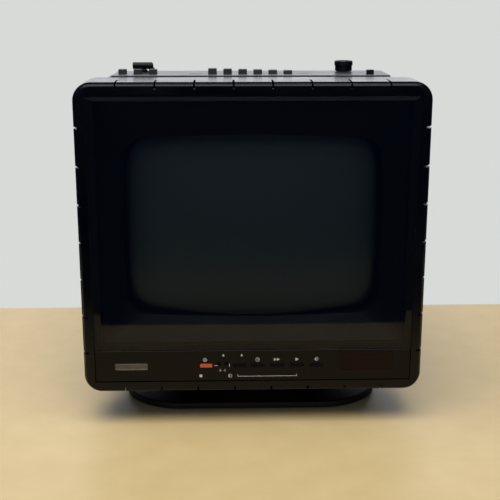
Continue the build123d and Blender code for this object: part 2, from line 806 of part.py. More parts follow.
bank_top, bank_low, slot_floor = 254, 236, 239
with BuildPart() as switch_banks:
    with BuildSketch(level(bank_low)):
        with Locations((push_x[1], button_y)):
            Rectangle(38, 14)
        with Locations((preset_x0 + 2.5 * button_pitch, button_y)):
            Rectangle(80, 14)
        with Locations((mute_x, mute_y)):
            Rectangle(12, 12)
    extrude(amount=bank_top - bank_low)
    with BuildSketch(level(slot_floor)):
        with Locations(*[(x, button_y) for x in tuple(push_x) + tuple(preset_x)]):
            Rectangle(stem_w + 0.2, stem_w + 0.2)
        with Locations((mute_x, mute_y)):
            Rectangle(mute_stem_w + 0.2, mute_stem_w + 0.2)
    extrude(amount=30, mode=Mode.SUBTRACT)
save(switch_banks, "switch_banks")


def top_button(x, y, width, depth, top, stem, label):
    """Square push button with softened edges on a square stem."""
    with BuildPart() as button:
        with BuildSketch(level(box_top - flange_drop)):
            with Locations((x, y)):
                RectangleRounded(width, depth, 0.6)
        extrude(amount=top - box_top + flange_drop)
        fillet(button.faces().sort_by(Axis.Z)[-1].edges(), 0.5)
        with BuildSketch(level(stem_low)):
            with Locations((x, y)):
                Rectangle(stem, stem)
        extrude(amount=box_top - flange_drop - stem_low)
    save(button, label)


for i, x in enumerate(push_x, 1):
    top_button(x, button_y, push_w, button_depth, push_top, stem_w, f"push_button_{i}")
for i, x in enumerate(preset_x):
    top_button(x, button_y, preset_w, button_depth, preset_top - i * preset_drop, stem_w,
               f"preset_key_{i + 1}")
top_button(mute_x, mute_y, mute_w, mute_d, mute_top, mute_stem_w, "mute_button")

with BuildPart() as volume_pot:
    with BuildSketch(level(244)):
        with Locations((knob_x, knob_y)):
            Circle(9)
    extrude(amount=8)
    with BuildSketch(level(252)):
        with Locations((knob_x, knob_y)):
            Circle(4.5)
    extrude(amount=box_top - wall - panel_flange - 252)
    with BuildSketch(level(246)):
        with Locations((knob_x, knob_y)):
            Circle(3 + fit)
    extrude(amount=20, mode=Mode.SUBTRACT)
save(volume_pot, "volume_pot")

with BuildPart() as volume_knob:
    with BuildSketch(level(knob_low)):
        with Locations((knob_x, knob_y)):
            Circle(knob_r)
            with PolarLocations(knob_r + 0.25, 24):
                Circle(0.6, mode=Mode.SUBTRACT)
    extrude(amount=knob_mid - knob_low)
    with BuildSketch(level(knob_mid)):
        with Locations((knob_x, knob_y)):
            Circle(knob_cap_r)
    extrude(amount=knob_top - knob_mid)
    fillet(volume_knob.edges().group_by(Axis.Z)[-1], 1)
    with BuildSketch(level(247)):
        with Locations((knob_x, knob_y)):
            Circle(3)
    extrude(amount=knob_low - 247)
    with BuildSketch(level(knob_top - 0.5)):
        with Locations((knob_x, knob_y - 4.5)):
            Rectangle(0.9, 5)
    extrude(amount=1, mode=Mode.SUBTRACT)
save(volume_knob, "volume_knob")

# ---------------------------------------------------------------- telescopic aerial
with BuildPart() as aerial_collar:
    with BuildSketch(level(collar_low)):
        with Locations((aerial_x, aerial_y)):
            Circle(3.4)
    extrude(amount=panel_top - collar_low)
    with BuildSketch(level(panel_top)):
        with Locations((aerial_x, aerial_y)):
            Circle(4.6)
    extrude(amount=0.8)
    with BuildSketch(level(collar_low)):
        with Locations((aerial_x, aerial_y)):
            Circle(swivel_r + fit)
    extrude(amount=20, mode=Mode.SUBTRACT)
save(aerial_collar, "aerial_collar")

with BuildPart() as aerial_swivel:
    with BuildSketch(level(collar_low - 3)):
        with Locations((aerial_x, aerial_y)):
            Circle(3.2)
    extrude(amount=2.8)
    with BuildSketch(level(collar_low - 1)):
        with Locations((aerial_x, aerial_y)):
            Circle(swivel_r)
    extrude(amount=hinge_z - collar_low + 1)
    with BuildSketch(side(swivel_left)):
        with Locations((aerial_y, hinge_z)):
            Circle(knuckle_r)
    extrude(amount=mast_x - cheek - 0.15 - swivel_left)
    fillet(aerial_swivel.edges().sort_by(Axis.X)[0], 0.6)
    with BuildSketch(side(mast_x - cheek - 1)):
        with Locations((aerial_y, hinge_z)):
            Circle(pin_r)
    extrude(amount=2 * cheek + 1.15)
    with BuildSketch(side(mast_x + cheek + 0.15)):
        with Locations((aerial_y, hinge_z)):
            Circle(2)
    extrude(amount=0.6)
save(aerial_swivel, "aerial_swivel")

# The mast's own plane: its z runs along the stowed mast, away from the hinge.
mast_dir = (0, cos(radians(mast_slope)), -sin(radians(mast_slope)))
mast_root = (mast_x, front_y + aerial_y, base_gap + hinge_z)


def along_mast(distance):
    """Plane square to the stowed mast, that far from the hinge pin."""
    origin = tuple(root + distance * step for root, step in zip(mast_root, mast_dir))
    return Plane(origin=origin, x_dir=(1, 0, 0), z_dir=mast_dir)


with BuildPart() as aerial_mast:
    with BuildSketch(along_mast(3.5)):
        Circle(mast_r)
    extrude(amount=mast_len - 3.5)
    with BuildSketch(side(mast_x - cheek)):
        with Locations((aerial_y, hinge_z)):
            Circle(knuckle_r)
    extrude(amount=2 * cheek)
    with BuildSketch(along_mast(0)):
        Rectangle(5, 4)
    extrude(amount=5)
    with BuildSketch(side(mast_x - cheek - 0.5)):
        with Locations((aerial_y, hinge_z)):
            Circle(pin_r + fit)
    extrude(amount=8, mode=Mode.SUBTRACT)
    with BuildSketch(along_mast(8)):
        Circle(section_r[0] + fit)
    extrude(amount=mast_len, mode=Mode.SUBTRACT)
save(aerial_mast, "aerial_mast")

for i, radius in enumerate(section_r):
    last = i == len(section_r) - 1
    with BuildPart() as section:
        with BuildSketch(along_mast(9 + 2 * i)):
            Circle(radius)
        extrude(amount=mast_len + 2 - 9)
        if last:
            with BuildSketch(along_mast(mast_len + 2 + 2 * i)):
                Circle(2.6)
            extrude(amount=5)
            fillet(section.edges().sort_by(Axis.Y)[-1], 1.6)
        else:
            with BuildSketch(along_mast(10 + 2 * i)):
                Circle(section_r[i + 1] + fit)
            extrude(amount=mast_len + 10, mode=Mode.SUBTRACT)
    save(section, f"aerial_section_{i + 1}")
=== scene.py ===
import bpy
import bmesh
import math
from mathutils import Matrix, Vector


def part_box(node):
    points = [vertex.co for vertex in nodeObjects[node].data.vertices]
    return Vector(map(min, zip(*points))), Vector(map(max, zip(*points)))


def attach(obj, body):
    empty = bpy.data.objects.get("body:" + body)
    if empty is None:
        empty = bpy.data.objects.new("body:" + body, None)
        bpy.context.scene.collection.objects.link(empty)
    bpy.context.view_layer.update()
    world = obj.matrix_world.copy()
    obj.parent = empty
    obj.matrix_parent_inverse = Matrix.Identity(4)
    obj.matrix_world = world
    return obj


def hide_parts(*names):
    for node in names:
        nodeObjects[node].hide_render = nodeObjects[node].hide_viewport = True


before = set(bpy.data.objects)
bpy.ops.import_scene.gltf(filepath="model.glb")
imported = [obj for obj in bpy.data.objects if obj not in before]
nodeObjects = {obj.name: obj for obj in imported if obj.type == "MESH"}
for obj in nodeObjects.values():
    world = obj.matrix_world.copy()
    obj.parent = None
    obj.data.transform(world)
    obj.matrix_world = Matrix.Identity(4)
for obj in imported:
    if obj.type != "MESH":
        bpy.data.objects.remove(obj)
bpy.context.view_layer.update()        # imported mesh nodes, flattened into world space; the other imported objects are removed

mm = 0.001
frameLow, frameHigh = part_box("front_frame")
frameDrop = 1.6                          # how far the frame hangs below the level that heights count from
faceY = frameLow.y                       # the front land of the frame
underZ = frameLow.z + frameDrop * mm
frameW = (frameHigh.x - frameLow.x) / mm
frameH = (frameHigh.z - frameLow.z) / mm
frameMid = frameH / 2 - frameDrop
print("frame loaded")


def place(x, depth, height):
    # millimetres: across, back from the face, up from the level of heights
    return Vector((x * mm, faceY + depth * mm, underZ + height * mm))


def hexToLinear(text):
    # sRGB hex to linear colour with alpha 1
    parts = [int(text[i:i + 2], 16) / 255 for i in (0, 2, 4)]
    return tuple(c / 12.92 if c <= 0.04045 else ((c + 0.055) / 1.055) ** 2.4 for c in parts) + (1.0,)


def addNode(tree, kind, inputs=None, links=None, stops=(), **settings):
    # one node with its settings, its fixed inputs, its links and, on a colour ramp, its stops
    node = tree.nodes.new(kind)
    for key, value in settings.items():
        setattr(node, key, value)
    for key, value in (inputs or {}).items():
        node.inputs[key].default_value = value
    for key, source in (links or {}).items():
        tree.links.new(source, node.inputs[key])
    for number, (position, colour) in enumerate(stops):
        elements = node.color_ramp.elements
        element = elements[number] if number < len(elements) else elements.new(position)
        element.position = position
        element.color = colour if len(colour) == 4 else hexToLinear(colour)
    return node


def newMaterial(name, **shaderInputs):
    # an empty material with its shader, output and object coordinates
    material = bpy.data.materials.new(name)
    material.use_nodes = True
    tree = material.node_tree
    tree.nodes.clear()
    shader = addNode(tree, "ShaderNodeBsdfPrincipled", shaderInputs)
    addNode(tree, "ShaderNodeOutputMaterial", links={"Surface": shader.outputs["BSDF"]})
    coords = addNode(tree, "ShaderNodeTexCoord").outputs["Object"]
    return material, tree, shader, coords


def scaleFor(sizeMm):
    # noise cells of about this size on coordinates in metres
    return 1 / (sizeMm * mm)


def mouldedPlastic(name, dark, light, roughness, grainMm, grainDeep, specular=0.5, dust=0.0):
    # injection-moulded plastic: spark-eroded grain, faint flow marks in tone and a little dust in the grain
    # the real grain is 0.1 to 0.2 mm, and it is drawn three to five times as coarse so that it shows
    material, tree, shader, coords = newMaterial(name, **{"Specular IOR Level": specular, "IOR": 1.53})
    flow = addNode(tree, "ShaderNodeTexNoise", {"Scale": scaleFor(38), "Detail": 4.0, "Roughness": 0.55},
                   {"Vector": coords})
    colour = addNode(tree, "ShaderNodeValToRGB", links={"Fac": flow.outputs["Fac"]},
                     stops=[(0.32, dark), (0.7, light)]).outputs["Color"]
    grain = addNode(tree, "ShaderNodeTexNoise", {"Scale": scaleFor(grainMm), "Detail": 2.0}, {"Vector": coords})
    if dust:
        specks = addNode(tree, "ShaderNodeTexVoronoi", {"Scale": scaleFor(5.5), "Randomness": 1.0},
                         {"Vector": coords})
        spots = addNode(tree, "ShaderNodeValToRGB", links={"Fac": specks.outputs["Distance"]},
                        stops=[(0.0, (dust, dust, dust, 1)), (0.05, (0, 0, 0, 1))]).outputs["Color"]
        mixed = addNode(tree, "ShaderNodeMix", {7: hexToLinear("8D8B84")}, {0: spots, 6: colour},
                        data_type="RGBA")
        colour = mixed.outputs[2]
    tree.links.new(colour, shader.inputs["Base Color"])
    rough = addNode(tree, "ShaderNodeMapRange",
                    {"From Min": 0.3, "From Max": 0.7, "To Min": roughness - 0.05, "To Max": roughness + 0.05},
                    {"Value": flow.outputs["Fac"]})
    tree.links.new(rough.outputs["Result"], shader.inputs["Roughness"])
    bump = addNode(tree, "ShaderNodeBump", {"Strength": 0.35, "Distance": grainDeep * mm},
                   {"Height": grain.outputs["Fac"]})
    tree.links.new(bump.outputs["Normal"], shader.inputs["Normal"])
    return material


def smokedAcrylic(name, tint, alpha, roughness, specular):
    # cast acrylic sheet dyed through: near black, very smooth, with soft wiping hazes in its gloss
    material, tree, shader, coords = newMaterial(name, **{"Alpha": alpha, "IOR": 1.49,
                                                          "Specular IOR Level": specular})
    haze = addNode(tree, "ShaderNodeTexNoise", {"Scale": scaleFor(60), "Detail": 3.0}, {"Vector": coords})
    colour = addNode(tree, "ShaderNodeValToRGB", links={"Fac": haze.outputs["Fac"]},
                     stops=[(0.35, tint[0]), (0.75, tint[1])])
    tree.links.new(colour.outputs["Color"], shader.inputs["Base Color"])
    stretched = addNode(tree, "ShaderNodeMapping", {"Scale": (0.12, 1.0, 1.0), "Rotation": (0.0, 0.5, 0.0)},
                        {"Vector": coords})
    wipes = addNode(tree, "ShaderNodeTexNoise", {"Scale": scaleFor(11), "Detail": 1.0},
                    {"Vector": stretched.outputs["Vector"]})
    rough = addNode(tree, "ShaderNodeMapRange",
                    {"From Min": 0.45, "From Max": 0.8, "To Min": roughness, "To Max": roughness + 0.02},
                    {"Value": wipes.outputs["Fac"]})
    tree.links.new(rough.outputs["Result"], shader.inputs["Roughness"])
    return material


def metalSurface(name, dark, light, roughness, lineMm, stretch=(1.0, 1.0, 1.0), lineDeep=0.01):
    # bare or plated metal: fine lines or crystals left by how it was made
    material, tree, shader, coords = newMaterial(name, Metallic=1.0)
    turned = addNode(tree, "ShaderNodeMapping", {"Scale": stretch}, {"Vector": coords})
    lines = addNode(tree, "ShaderNodeTexNoise", {"Scale": scaleFor(lineMm), "Detail": 3.0},
                    {"Vector": turned.outputs["Vector"]})
    colour = addNode(tree, "ShaderNodeValToRGB", links={"Fac": lines.outputs["Fac"]},
                     stops=[(0.3, dark), (0.7, light)])
    tree.links.new(colour.outputs["Color"], shader.inputs["Base Color"])
    rough = addNode(tree, "ShaderNodeMapRange",
                    {"From Min": 0.3, "From Max": 0.7, "To Min": roughness * 0.8, "To Max": roughness * 1.3},
                    {"Value": lines.outputs["Fac"]})
    tree.links.new(rough.outputs["Result"], shader.inputs["Roughness"])
    bump = addNode(tree, "ShaderNodeBump", {"Strength": 0.3, "Distance": lineDeep * mm},
                   {"Height": lines.outputs["Fac"]})
    tree.links.new(bump.outputs["Normal"], shader.inputs["Normal"])
    return material


tubeMid = 139.3          # height of the picture tube's axis
screenTone = {"middle": "5B6C69", "near": "485755", "edge": "0B0E10",
              "halfW": 0.106, "halfH": 0.0745, "fall": 9.0}


def tubeGlass(name):
    # screen of pressed glass with a grey-green phosphor behind it:
    # paler in the middle, dark at the rounded edge
    material, tree, shader, coords = newMaterial(name, **{"Roughness": 0.35, "Specular IOR Level": 0.35,
                                                          "Coat Weight": 1.0, "Coat Roughness": 0.22})
    separate = addNode(tree, "ShaderNodeSeparateXYZ", links={"Vector": coords})
    middle = place(0, 0, tubeMid)
    edges = []
    for axis, centre, half in (("X", middle.x, screenTone["halfW"]), ("Z", middle.z, screenTone["halfH"])):
        offset = addNode(tree, "ShaderNodeMath", {1: centre}, {0: separate.outputs[axis]}, operation="SUBTRACT")
        ratio = addNode(tree, "ShaderNodeMath", {1: half}, {0: offset.outputs[0]}, operation="DIVIDE")
        size = addNode(tree, "ShaderNodeMath", links={0: ratio.outputs[0]}, operation="ABSOLUTE")
        edges.append(addNode(tree, "ShaderNodeMath", {1: screenTone["fall"]}, {0: size.outputs[0]},
                             operation="POWER"))
    total = addNode(tree, "ShaderNodeMath", links={0: edges[0].outputs[0], 1: edges[1].outputs[0]},
                    operation="ADD")
    colour = addNode(tree, "ShaderNodeValToRGB", links={"Fac": total.outputs[0]},
                     stops=[(0.0, screenTone["middle"]), (0.45, screenTone["near"]), (1.0, screenTone["edge"])])
    tree.links.new(colour.outputs["Color"], shader.inputs["Base Color"])
    return material


def plainInk(name, colour, roughness=0.5):
    # silk-screened ink: flat, opaque and slightly uneven in tone
    material, tree, shader, coords = newMaterial(name, Roughness=roughness)
    noise = addNode(tree, "ShaderNodeTexNoise", {"Scale": scaleFor(0.6), "Detail": 2.0}, {"Vector": coords})
    bright = hexToLinear(colour)
    dull = tuple(c * 0.82 for c in bright[:3]) + (1.0,)
    tone = addNode(tree, "ShaderNodeValToRGB", links={"Fac": noise.outputs["Fac"]},
                   stops=[(0.3, dull), (0.65, bright)])
    tree.links.new(tone.outputs["Color"], shader.inputs["Base Color"])
    return material


def laminateBoard(name):
    # phenolic paper board: brown, with darker clouds where the resin is thick
    material, tree, shader, coords = newMaterial(name, Roughness=0.45)
    clouds = addNode(tree, "ShaderNodeTexNoise", {"Scale": scaleFor(9), "Detail": 5.0}, {"Vector": coords})
    tone = addNode(tree, "ShaderNodeValToRGB", links={"Fac": clouds.outputs["Fac"]},
                   stops=[(0.3, "6B4A22"), (0.7, "8E6A35")])
    tree.links.new(tone.outputs["Color"], shader.inputs["Base Color"])
    return material


# polished, painted and grained mouldings: sharp dark reflections, a soft sheen, or a dull even grey
absGloss = mouldedPlastic("glossy_black_moulded_ABS", "020203", "050506", 0.24, 0.7, 0.006, 0.19, dust=0.05)
absStrip = mouldedPlastic("painted_dark_strip_ABS", "060504", "090706", 0.26, 0.5, 0.006, 0.16)
absPanel = mouldedPlastic("satin_blue_grey_moulded_ABS", "2A2E31", "33383B", 0.34, 0.6, 0.02, 0.4)
absGrain = mouldedPlastic("grained_dark_moulded_ABS", "1B1C1D", "222324", 0.5, 0.8, 0.05)
absBase = mouldedPlastic("satin_black_moulded_ABS", "060606", "0A0A0B", 0.5, 0.8, 0.03, 0.25)
absMask = mouldedPlastic("matt_black_moulded_polystyrene", "05070B", "080B10", 0.55, 0.9, 0.03, 0.3)
# keys and knobs: fine grain with a thumb-worn sheen
absKey = mouldedPlastic("olive_grey_moulded_key_ABS", "2B2D29", "353732", 0.45, 0.5, 0.02, 0.35)
absDark = mouldedPlastic("dark_moulded_key_ABS", "060505", "0A0908", 0.6, 0.5, 0.02, 0.08)
absKnob = mouldedPlastic("black_moulded_knob_ABS", "050606", "090A0A", 0.42, 0.4, 0.01, 0.18)
absOrange = mouldedPlastic("orange_red_moulded_key_ABS", "BC4A28", "CA5631", 0.34, 0.5, 0.01)
# rubber is dull, nylon milky, phenolic a hard black, and varnish wet over copper
rubberPad = mouldedPlastic("moulded_black_rubber", "0C0C0C", "161616", 0.8, 0.5, 0.05)
nylonPart = mouldedPlastic("natural_moulded_nylon", "C9C4B4", "D6D1C3", 0.45, 0.7, 0.02)
bakelite = mouldedPlastic("moulded_black_phenolic", "0A0908", "12100F", 0.35, 0.5, 0.01)
varnishedCopper = mouldedPlastic("varnished_copper_winding", "6E2C12", "8A3C1A", 0.3, 0.5, 0.04, 0.6)
conePaper = mouldedPlastic("pressed_paper_pulp", "161514", "221F1D", 0.9, 0.6, 0.08, 0.2)
graphite = mouldedPlastic("graphite_coated_glass", "16171A", "222428", 0.6, 1.2, 0.02, 0.4)
wovenThread = mouldedPlastic("woven_nylon_thread", "101112", "1C1D1F", 0.75, 0.4, 0.03, 0.3)
# clear sheets: the dark filter hides the mask behind it, and the window glows a little red
smokedSheet = smokedAcrylic("smoked_cast_acrylic", ("010204", "020408"), 0.42, 0.02, 0.46)
redWindow = smokedAcrylic("dark_red_cast_acrylic", ("170605", "200807"), 0.8, 0.1, 0.15)
screenGlass = tubeGlass("pressed_screen_glass_over_phosphor")
# metals: zinc in dull crystals, chrome drawn along the tube, alloy with long extrusion lines, a brushed badge
zincSteel = metalSurface("zinc_plated_steel", "8E9096", "B9BBC0", 0.34, 1.2)
chromeTube = metalSurface("drawn_chromed_brass_tube", "C9CACC", "E4E5E6", 0.12, 2.5, (6.0, 0.4, 6.0))
extrudedAlloy = metalSurface("extruded_aluminium", "A9ABAE", "C6C8CA", 0.3, 1.0, (1.0, 1.0, 0.1))
satinBadge = metalSurface("brushed_dark_anodised_plate", "5C5B57", "6E6D68", 0.42, 0.5, (0.05, 1.0, 1.0))
whiteInk = plainInk("white_screen_print", "C9CAC4")
boardSheet = laminateBoard("phenolic_paper_laminate")
print("materials made")


def ringPoints(halfW, halfH, radius, middleZ, depth, perCorner=8):
    # rounded rectangle facing the viewer, counted round from the right-hand side of its top edge
    points = []
    radius = max(radius, 0.05)
    corners = ((1, 1, 0), (-1, 1, 90), (-1, -1, 180), (1, -1, 270))
    for signX, signZ, start in corners:
        centreX, centreZ = signX * (halfW - radius), middleZ + signZ * (halfH - radius)
        for step in range(perCorner + 1):
            angle = math.radians(start + 90 * step / perCorner)
            points.append(place(centreX + radius * math.cos(angle), depth, centreZ + radius * math.sin(angle)))
    return points


def barrelPoints(halfW, halfH, bow, radius, middleZ, depth, perCorner=8, perSide=12):
    # rounded rectangle whose four sides bow outwards; the same count of points for every size
    points = []
    corners = ((1, 1, 0), (-1, 1, 90), (-1, -1, 180), (1, -1, 270))
    for number, (signX, signZ, start) in enumerate(corners):
        centreX, centreZ = signX * (halfW - radius), signZ * (halfH - radius)
        for step in range(perCorner + 1):
            angle = math.radians(start + 90 * step / perCorner)
            points.append((centreX + radius * math.cos(angle), centreZ + radius * math.sin(angle)))
        nextX, nextZ, nextStart = corners[(number + 1) % 4]
        first = points[-1]
        angle = math.radians(nextStart)
        second = (nextX * (halfW - radius) + radius * math.cos(angle),
                  nextZ * (halfH - radius) + radius * math.sin(angle))
        for step in range(1, perSide):
            share = step / perSide
            points.append((first[0] + (second[0] - first[0]) * share,
                           first[1] + (second[1] - first[1]) * share))
    bowed = []
    for x, z in points:
        bowedX = x + (math.copysign(bow, x) * max(0.0, 1 - (z / halfH) ** 2)
                      * min(1.0, abs(x) / (halfW - radius)) ** 4)
        bowedZ = z + (math.copysign(bow, z) * max(0.0, 1 - (x / halfW) ** 2)
                      * min(1.0, abs(z) / (halfH - radius)) ** 4)
        bowed.append(place(bowedX, depth, middleZ + bowedZ))
    return bowed


def loftRings(rings, closed=False, capStart=True, capEnd=True):
    # quads between rings of equal count; a closed loft joins its last ring to its first
    mesh = bmesh.new()
    rows = [[mesh.verts.new(point) for point in ring] for ring in rings]
    count = len(rows[0])
    pairs = list(zip(rows, rows[1:])) + ([(rows[-1], rows[0])] if closed else [])
    for first, second in pairs:
        for i in range(count):
            j = (i + 1) % count
            mesh.faces.new((first[i], first[j], second[j], second[i]))
    if not closed and capStart:
        mesh.faces.new(rows[0])
    if not closed and capEnd:
        mesh.faces.new(list(reversed(rows[-1])))
    bmesh.ops.recalc_face_normals(mesh, faces=mesh.faces)
    return mesh


def addBlock(mesh, low, high):
    # a plain closed block between two corners, added to a mesh being built
    made = bmesh.ops.create_cube(mesh, size=1.0)["verts"]
    size = high - low
    for vert in made:
        vert.co = Vector(((vert.co.x + 0.5) * size.x, (vert.co.y + 0.5) * size.y,
                          (vert.co.z + 0.5) * size.z)) + low


def addPrism(mesh, outline, nearDepth, farDepth):
    # closed prism from an outline of (x, height) points, between two depths
    near = [mesh.verts.new(place(x, nearDepth, z)) for x, z in outline]
    far = [mesh.verts.new(place(x, farDepth, z)) for x, z in outline]
    mesh.faces.new(near)
    mesh.faces.new(list(reversed(far)))
    for i in range(len(near)):
        j = (i + 1) % len(near)
        mesh.faces.new((near[j], near[i], far[i], far[j]))


def lathe(profile, centre, axis, steps=48):
    # closed turned shape from (radius, along) points in millimetres about an axis through centre
    mesh = bmesh.new()
    turn = Vector((0, 0, 1)).rotation_difference(Vector(axis)).to_matrix()
    rows = []
    for radius, along in profile:
        if radius < 1e-6:
            rows.append([mesh.verts.new(centre + turn @ Vector((0, 0, along * mm)))])
            continue
        row = []
        for i in range(steps):
            angle = 2 * math.pi * i / steps
            spot = Vector((radius * math.cos(angle), radius * math.sin(angle), along)) * mm
            row.append(mesh.verts.new(centre + turn @ spot))
        rows.append(row)
    for first, second in zip(rows, rows[1:]):
        for i in range(steps):
            j = (i + 1) % steps
            if len(first) == 1 and len(second) > 1:
                mesh.faces.new((first[0], second[j], second[i]))
            elif len(second) == 1 and len(first) > 1:
                mesh.faces.new((first[i], first[j], second[0]))
            elif len(first) > 1:
                mesh.faces.new((first[i], first[j], second[j], second[i]))
    bmesh.ops.recalc_face_normals(mesh, faces=mesh.faces)
    return mesh


def addMesh(mesh, other):
    # one mesh being built takes in another, which ends there
    scrap = bpy.data.meshes.new("scrap")
    other.to_mesh(scrap)
    other.free()
    mesh.from_mesh(scrap)


def finishMesh(mesh, name, sharpAngle=32):
    # a bmesh becomes an object, smooth except where its faces meet sharply
    data = bpy.data.meshes.new(name)
    bmesh.ops.remove_doubles(mesh, verts=mesh.verts, dist=1e-7)
    mesh.to_mesh(data)
    mesh.free()
    return shadeSmooth(bpy.data.objects.new(name, data), sharpAngle)


def shadeSmooth(item, sharpAngle=32):
    data = item.data
    shape = bmesh.new()
    shape.from_mesh(data)
    limit = math.radians(sharpAngle)
    for edge in shape.edges:
        edge.smooth = len(edge.link_faces) == 2 and edge.calc_face_angle(0) < limit
    for face in shape.faces:
        face.smooth = True
    shape.to_mesh(data)
    shape.free()
    if item.name not in bpy.context.scene.collection.objects:
        bpy.context.scene.collection.objects.link(item)
    weigh = item.modifiers.new("even normals", "WEIGHTED_NORMAL")
    weigh.keep_sharp = True
    bakeModifiers(item)
    return item


def bakeModifiers(item):
    # the evaluated mesh takes the place of the mesh and its modifiers
    bpy.context.view_layer.update()
    evaluated = item.evaluated_get(bpy.context.evaluated_depsgraph_get())
    plain = bpy.data.meshes.new_from_object(evaluated)
    item.modifiers.clear()
    item.data = plain
    return item


def finishPiece(item, material, body, nodes=()):
    # material, body and the nodes that the piece stands for
    item.data.materials.clear()
    item.data.materials.append(material)
    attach(item, body)
    if nodes:
        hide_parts(*nodes)
    return item


def smoothCopy(node, name, sharpAngle=32):
    # a merged copy of a node's mesh, shaded smoothly across its rounded stretches
    shape = bmesh.new()
    shape.from_mesh(nodeObjects[node].data)
    bmesh.ops.remove_doubles(shape, verts=shape.verts, dist=2e-6)
    bmesh.ops.dissolve_degenerate(shape, dist=1e-7, edges=shape.edges)
    data = bpy.data.meshes.new(name)
    shape.to_mesh(data)
    shape.free()
    return shadeSmooth(bpy.data.objects.new(name, data), sharpAngle)


def paintNode(node, material):
    # a node whose shape is right keeps it and takes a better material
    data = nodeObjects[node].data
    data.materials.clear()
    data.materials.append(material)


def geometryTree(name, sockets):
    # an empty Geometry Nodes tree with named inputs, and its two ends
    tree = bpy.data.node_groups.new(name, "GeometryNodeTree")
    tree.interface.new_socket("Geometry", in_out="INPUT", socket_type="NodeSocketGeometry")
    tree.interface.new_socket("Geometry", in_out="OUTPUT", socket_type="NodeSocketGeometry")
    identifiers = {}
    for label, kind, value in sockets:
        socket = tree.interface.new_socket(label, in_out="INPUT", socket_type=kind)
        if value is not None:
            socket.default_value = value
        identifiers[label] = socket.identifier
    start = addNode(tree, "NodeGroupInput")
    end = addNode(tree, "NodeGroupOutput")
    return tree, start, end, identifiers


def finishTree(tree, end, instances, material):
    # every tree ends in real geometry with its material set
    real = addNode(tree, "GeometryNodeRealizeInstances", links={"Geometry": instances})
    painted = addNode(tree, "GeometryNodeSetMaterial", links={"Geometry": real.outputs["Geometry"]})
    painted.inputs["Material"].default_value = material
    tree.links.new(painted.outputs["Geometry"], end.inputs["Geometry"])


def growPiece(name, tree, identifiers, values, shape=None):
    # runs a tree on a mesh (or on nothing) and keeps the plain result
    data = shape or bpy.data.meshes.new(name)
    item = bpy.data.objects.new(name, data)
    bpy.context.scene.collection.objects.link(item)
    modifier = item.modifiers.new("grow", "NODES")
    modifier.node_group = tree
    for label, value in values.items():
        modifier[identifiers[label]] = value
    return bakeModifiers(item)


# camera and light
cameraPart = {"x": -0.02353, "back": 0.7797, "height": 0.3625, "lens": 70.2,
              "aim": (0.025708, 0.966271, -0.25624)}
camera = bpy.data.objects.new("camera", bpy.data.cameras.new("camera"))
camera.location = (cameraPart["x"], faceY - cameraPart["back"], cameraPart["height"])
camera.rotation_euler = Vector(cameraPart["aim"]).to_track_quat("-Z", "Y").to_euler()
camera.data.lens = cameraPart["lens"]
camera.data.sensor_width = 36
bpy.context.scene.collection.objects.link(camera)
bpy.context.scene.camera = camera
bpy.context.scene.view_settings.view_transform = "Standard"

white, coolWhite = (1.0, 1.0, 1.0), (0.93, 0.98, 1.0)
# each lamp: place, aim, width, height, watts, colour
lightPart = {"wall": "D8DAD8", "room": (0.006, 0.03, 0.1),
             "overhead_light": ((-0.15, -0.62, 1.7), (0.0, -0.2, 0.0), 1.8, 1.4, 37.0, white),
             "behind_light": ((0.0, 1.3, 0.8), (0.0, 0.0, 0.3), 1.5, 1.1, 6.6, white),
             "front_light": ((0.0, -2.5, 1.34), (0.0, 0.0, 1.2), 4.0, 1.9, 10.0, coolWhite)}


def softBox(name):
    # a large rectangular lamp turned to its aim and hidden from the camera
    location, aim, width, height, power, colour = lightPart[name]
    lamp = bpy.data.lights.new(name, "AREA")
    lamp.shape, lamp.size, lamp.size_y, lamp.energy, lamp.color = "RECTANGLE", width, height, power, colour
    item = bpy.data.objects.new(name, lamp)
    item.location = location
    item.rotation_euler = (Vector(aim) - Vector(location)).to_track_quat("-Z", "Y").to_euler()
    item.visible_camera = False
    bpy.context.scene.collection.objects.link(item)


for lampName in ("overhead_light", "behind_light", "front_light"):
    softBox(lampName)

world = bpy.data.worlds.new("plain_room")
bpy.context.scene.world = world
world.use_nodes = True
world.node_tree.nodes.clear()
seen = addNode(world.node_tree, "ShaderNodeLightPath").outputs["Is Camera Ray"]
dim = addNode(world.node_tree, "ShaderNodeBackground", {"Color": lightPart["room"] + (1.0,)})
pale = addNode(world.node_tree, "ShaderNodeBackground", {"Color": hexToLinear(lightPart["wall"])})
mixed = addNode(world.node_tree, "ShaderNodeMixShader",
                links={0: seen, 1: dim.outputs[0], 2: pale.outputs[0]})
addNode(world.node_tree, "ShaderNodeOutputWorld", links={"Surface": mixed.outputs[0]})

floorPart = {"left": -0.75, "right": 0.75, "front": 0.266, "behind": 0.33, "thick": 0.03, "edge": 0.004,
             "dark": "D8BD85", "light": "DEC38C", "roughness": 0.42, "cloudMm": 30}
floorMesh = bmesh.new()
addBlock(floorMesh, Vector((floorPart["left"], faceY - floorPart["front"], -floorPart["thick"])),
         Vector((floorPart["right"], faceY + floorPart["behind"], 0.0)))
bmesh.ops.bevel(floorMesh, geom=floorMesh.edges[:], offset=floorPart["edge"], segments=3, affect="EDGES")
floor = finishMesh(floorMesh, "plain_floor")
floorMaterial, floorTree, floorShader, floorCoords = newMaterial("pale_satin_table_top",
                                                                Roughness=floorPart["roughness"])
floorNoise = addNode(floorTree, "ShaderNodeTexNoise", {"Scale": scaleFor(floorPart["cloudMm"]), "Detail": 5.0},
                     {"Vector": floorCoords})
floorTone = addNode(floorTree, "ShaderNodeValToRGB", links={"Fac": floorNoise.outputs["Fac"]},
                    stops=[(0.3, floorPart["dark"]), (0.7, floorPart["light"])])
floorTree.links.new(floorTone.outputs["Color"], floorShader.inputs["Base Color"])
floor.data.materials.append(floorMaterial)
print("camera, lights and floor placed")

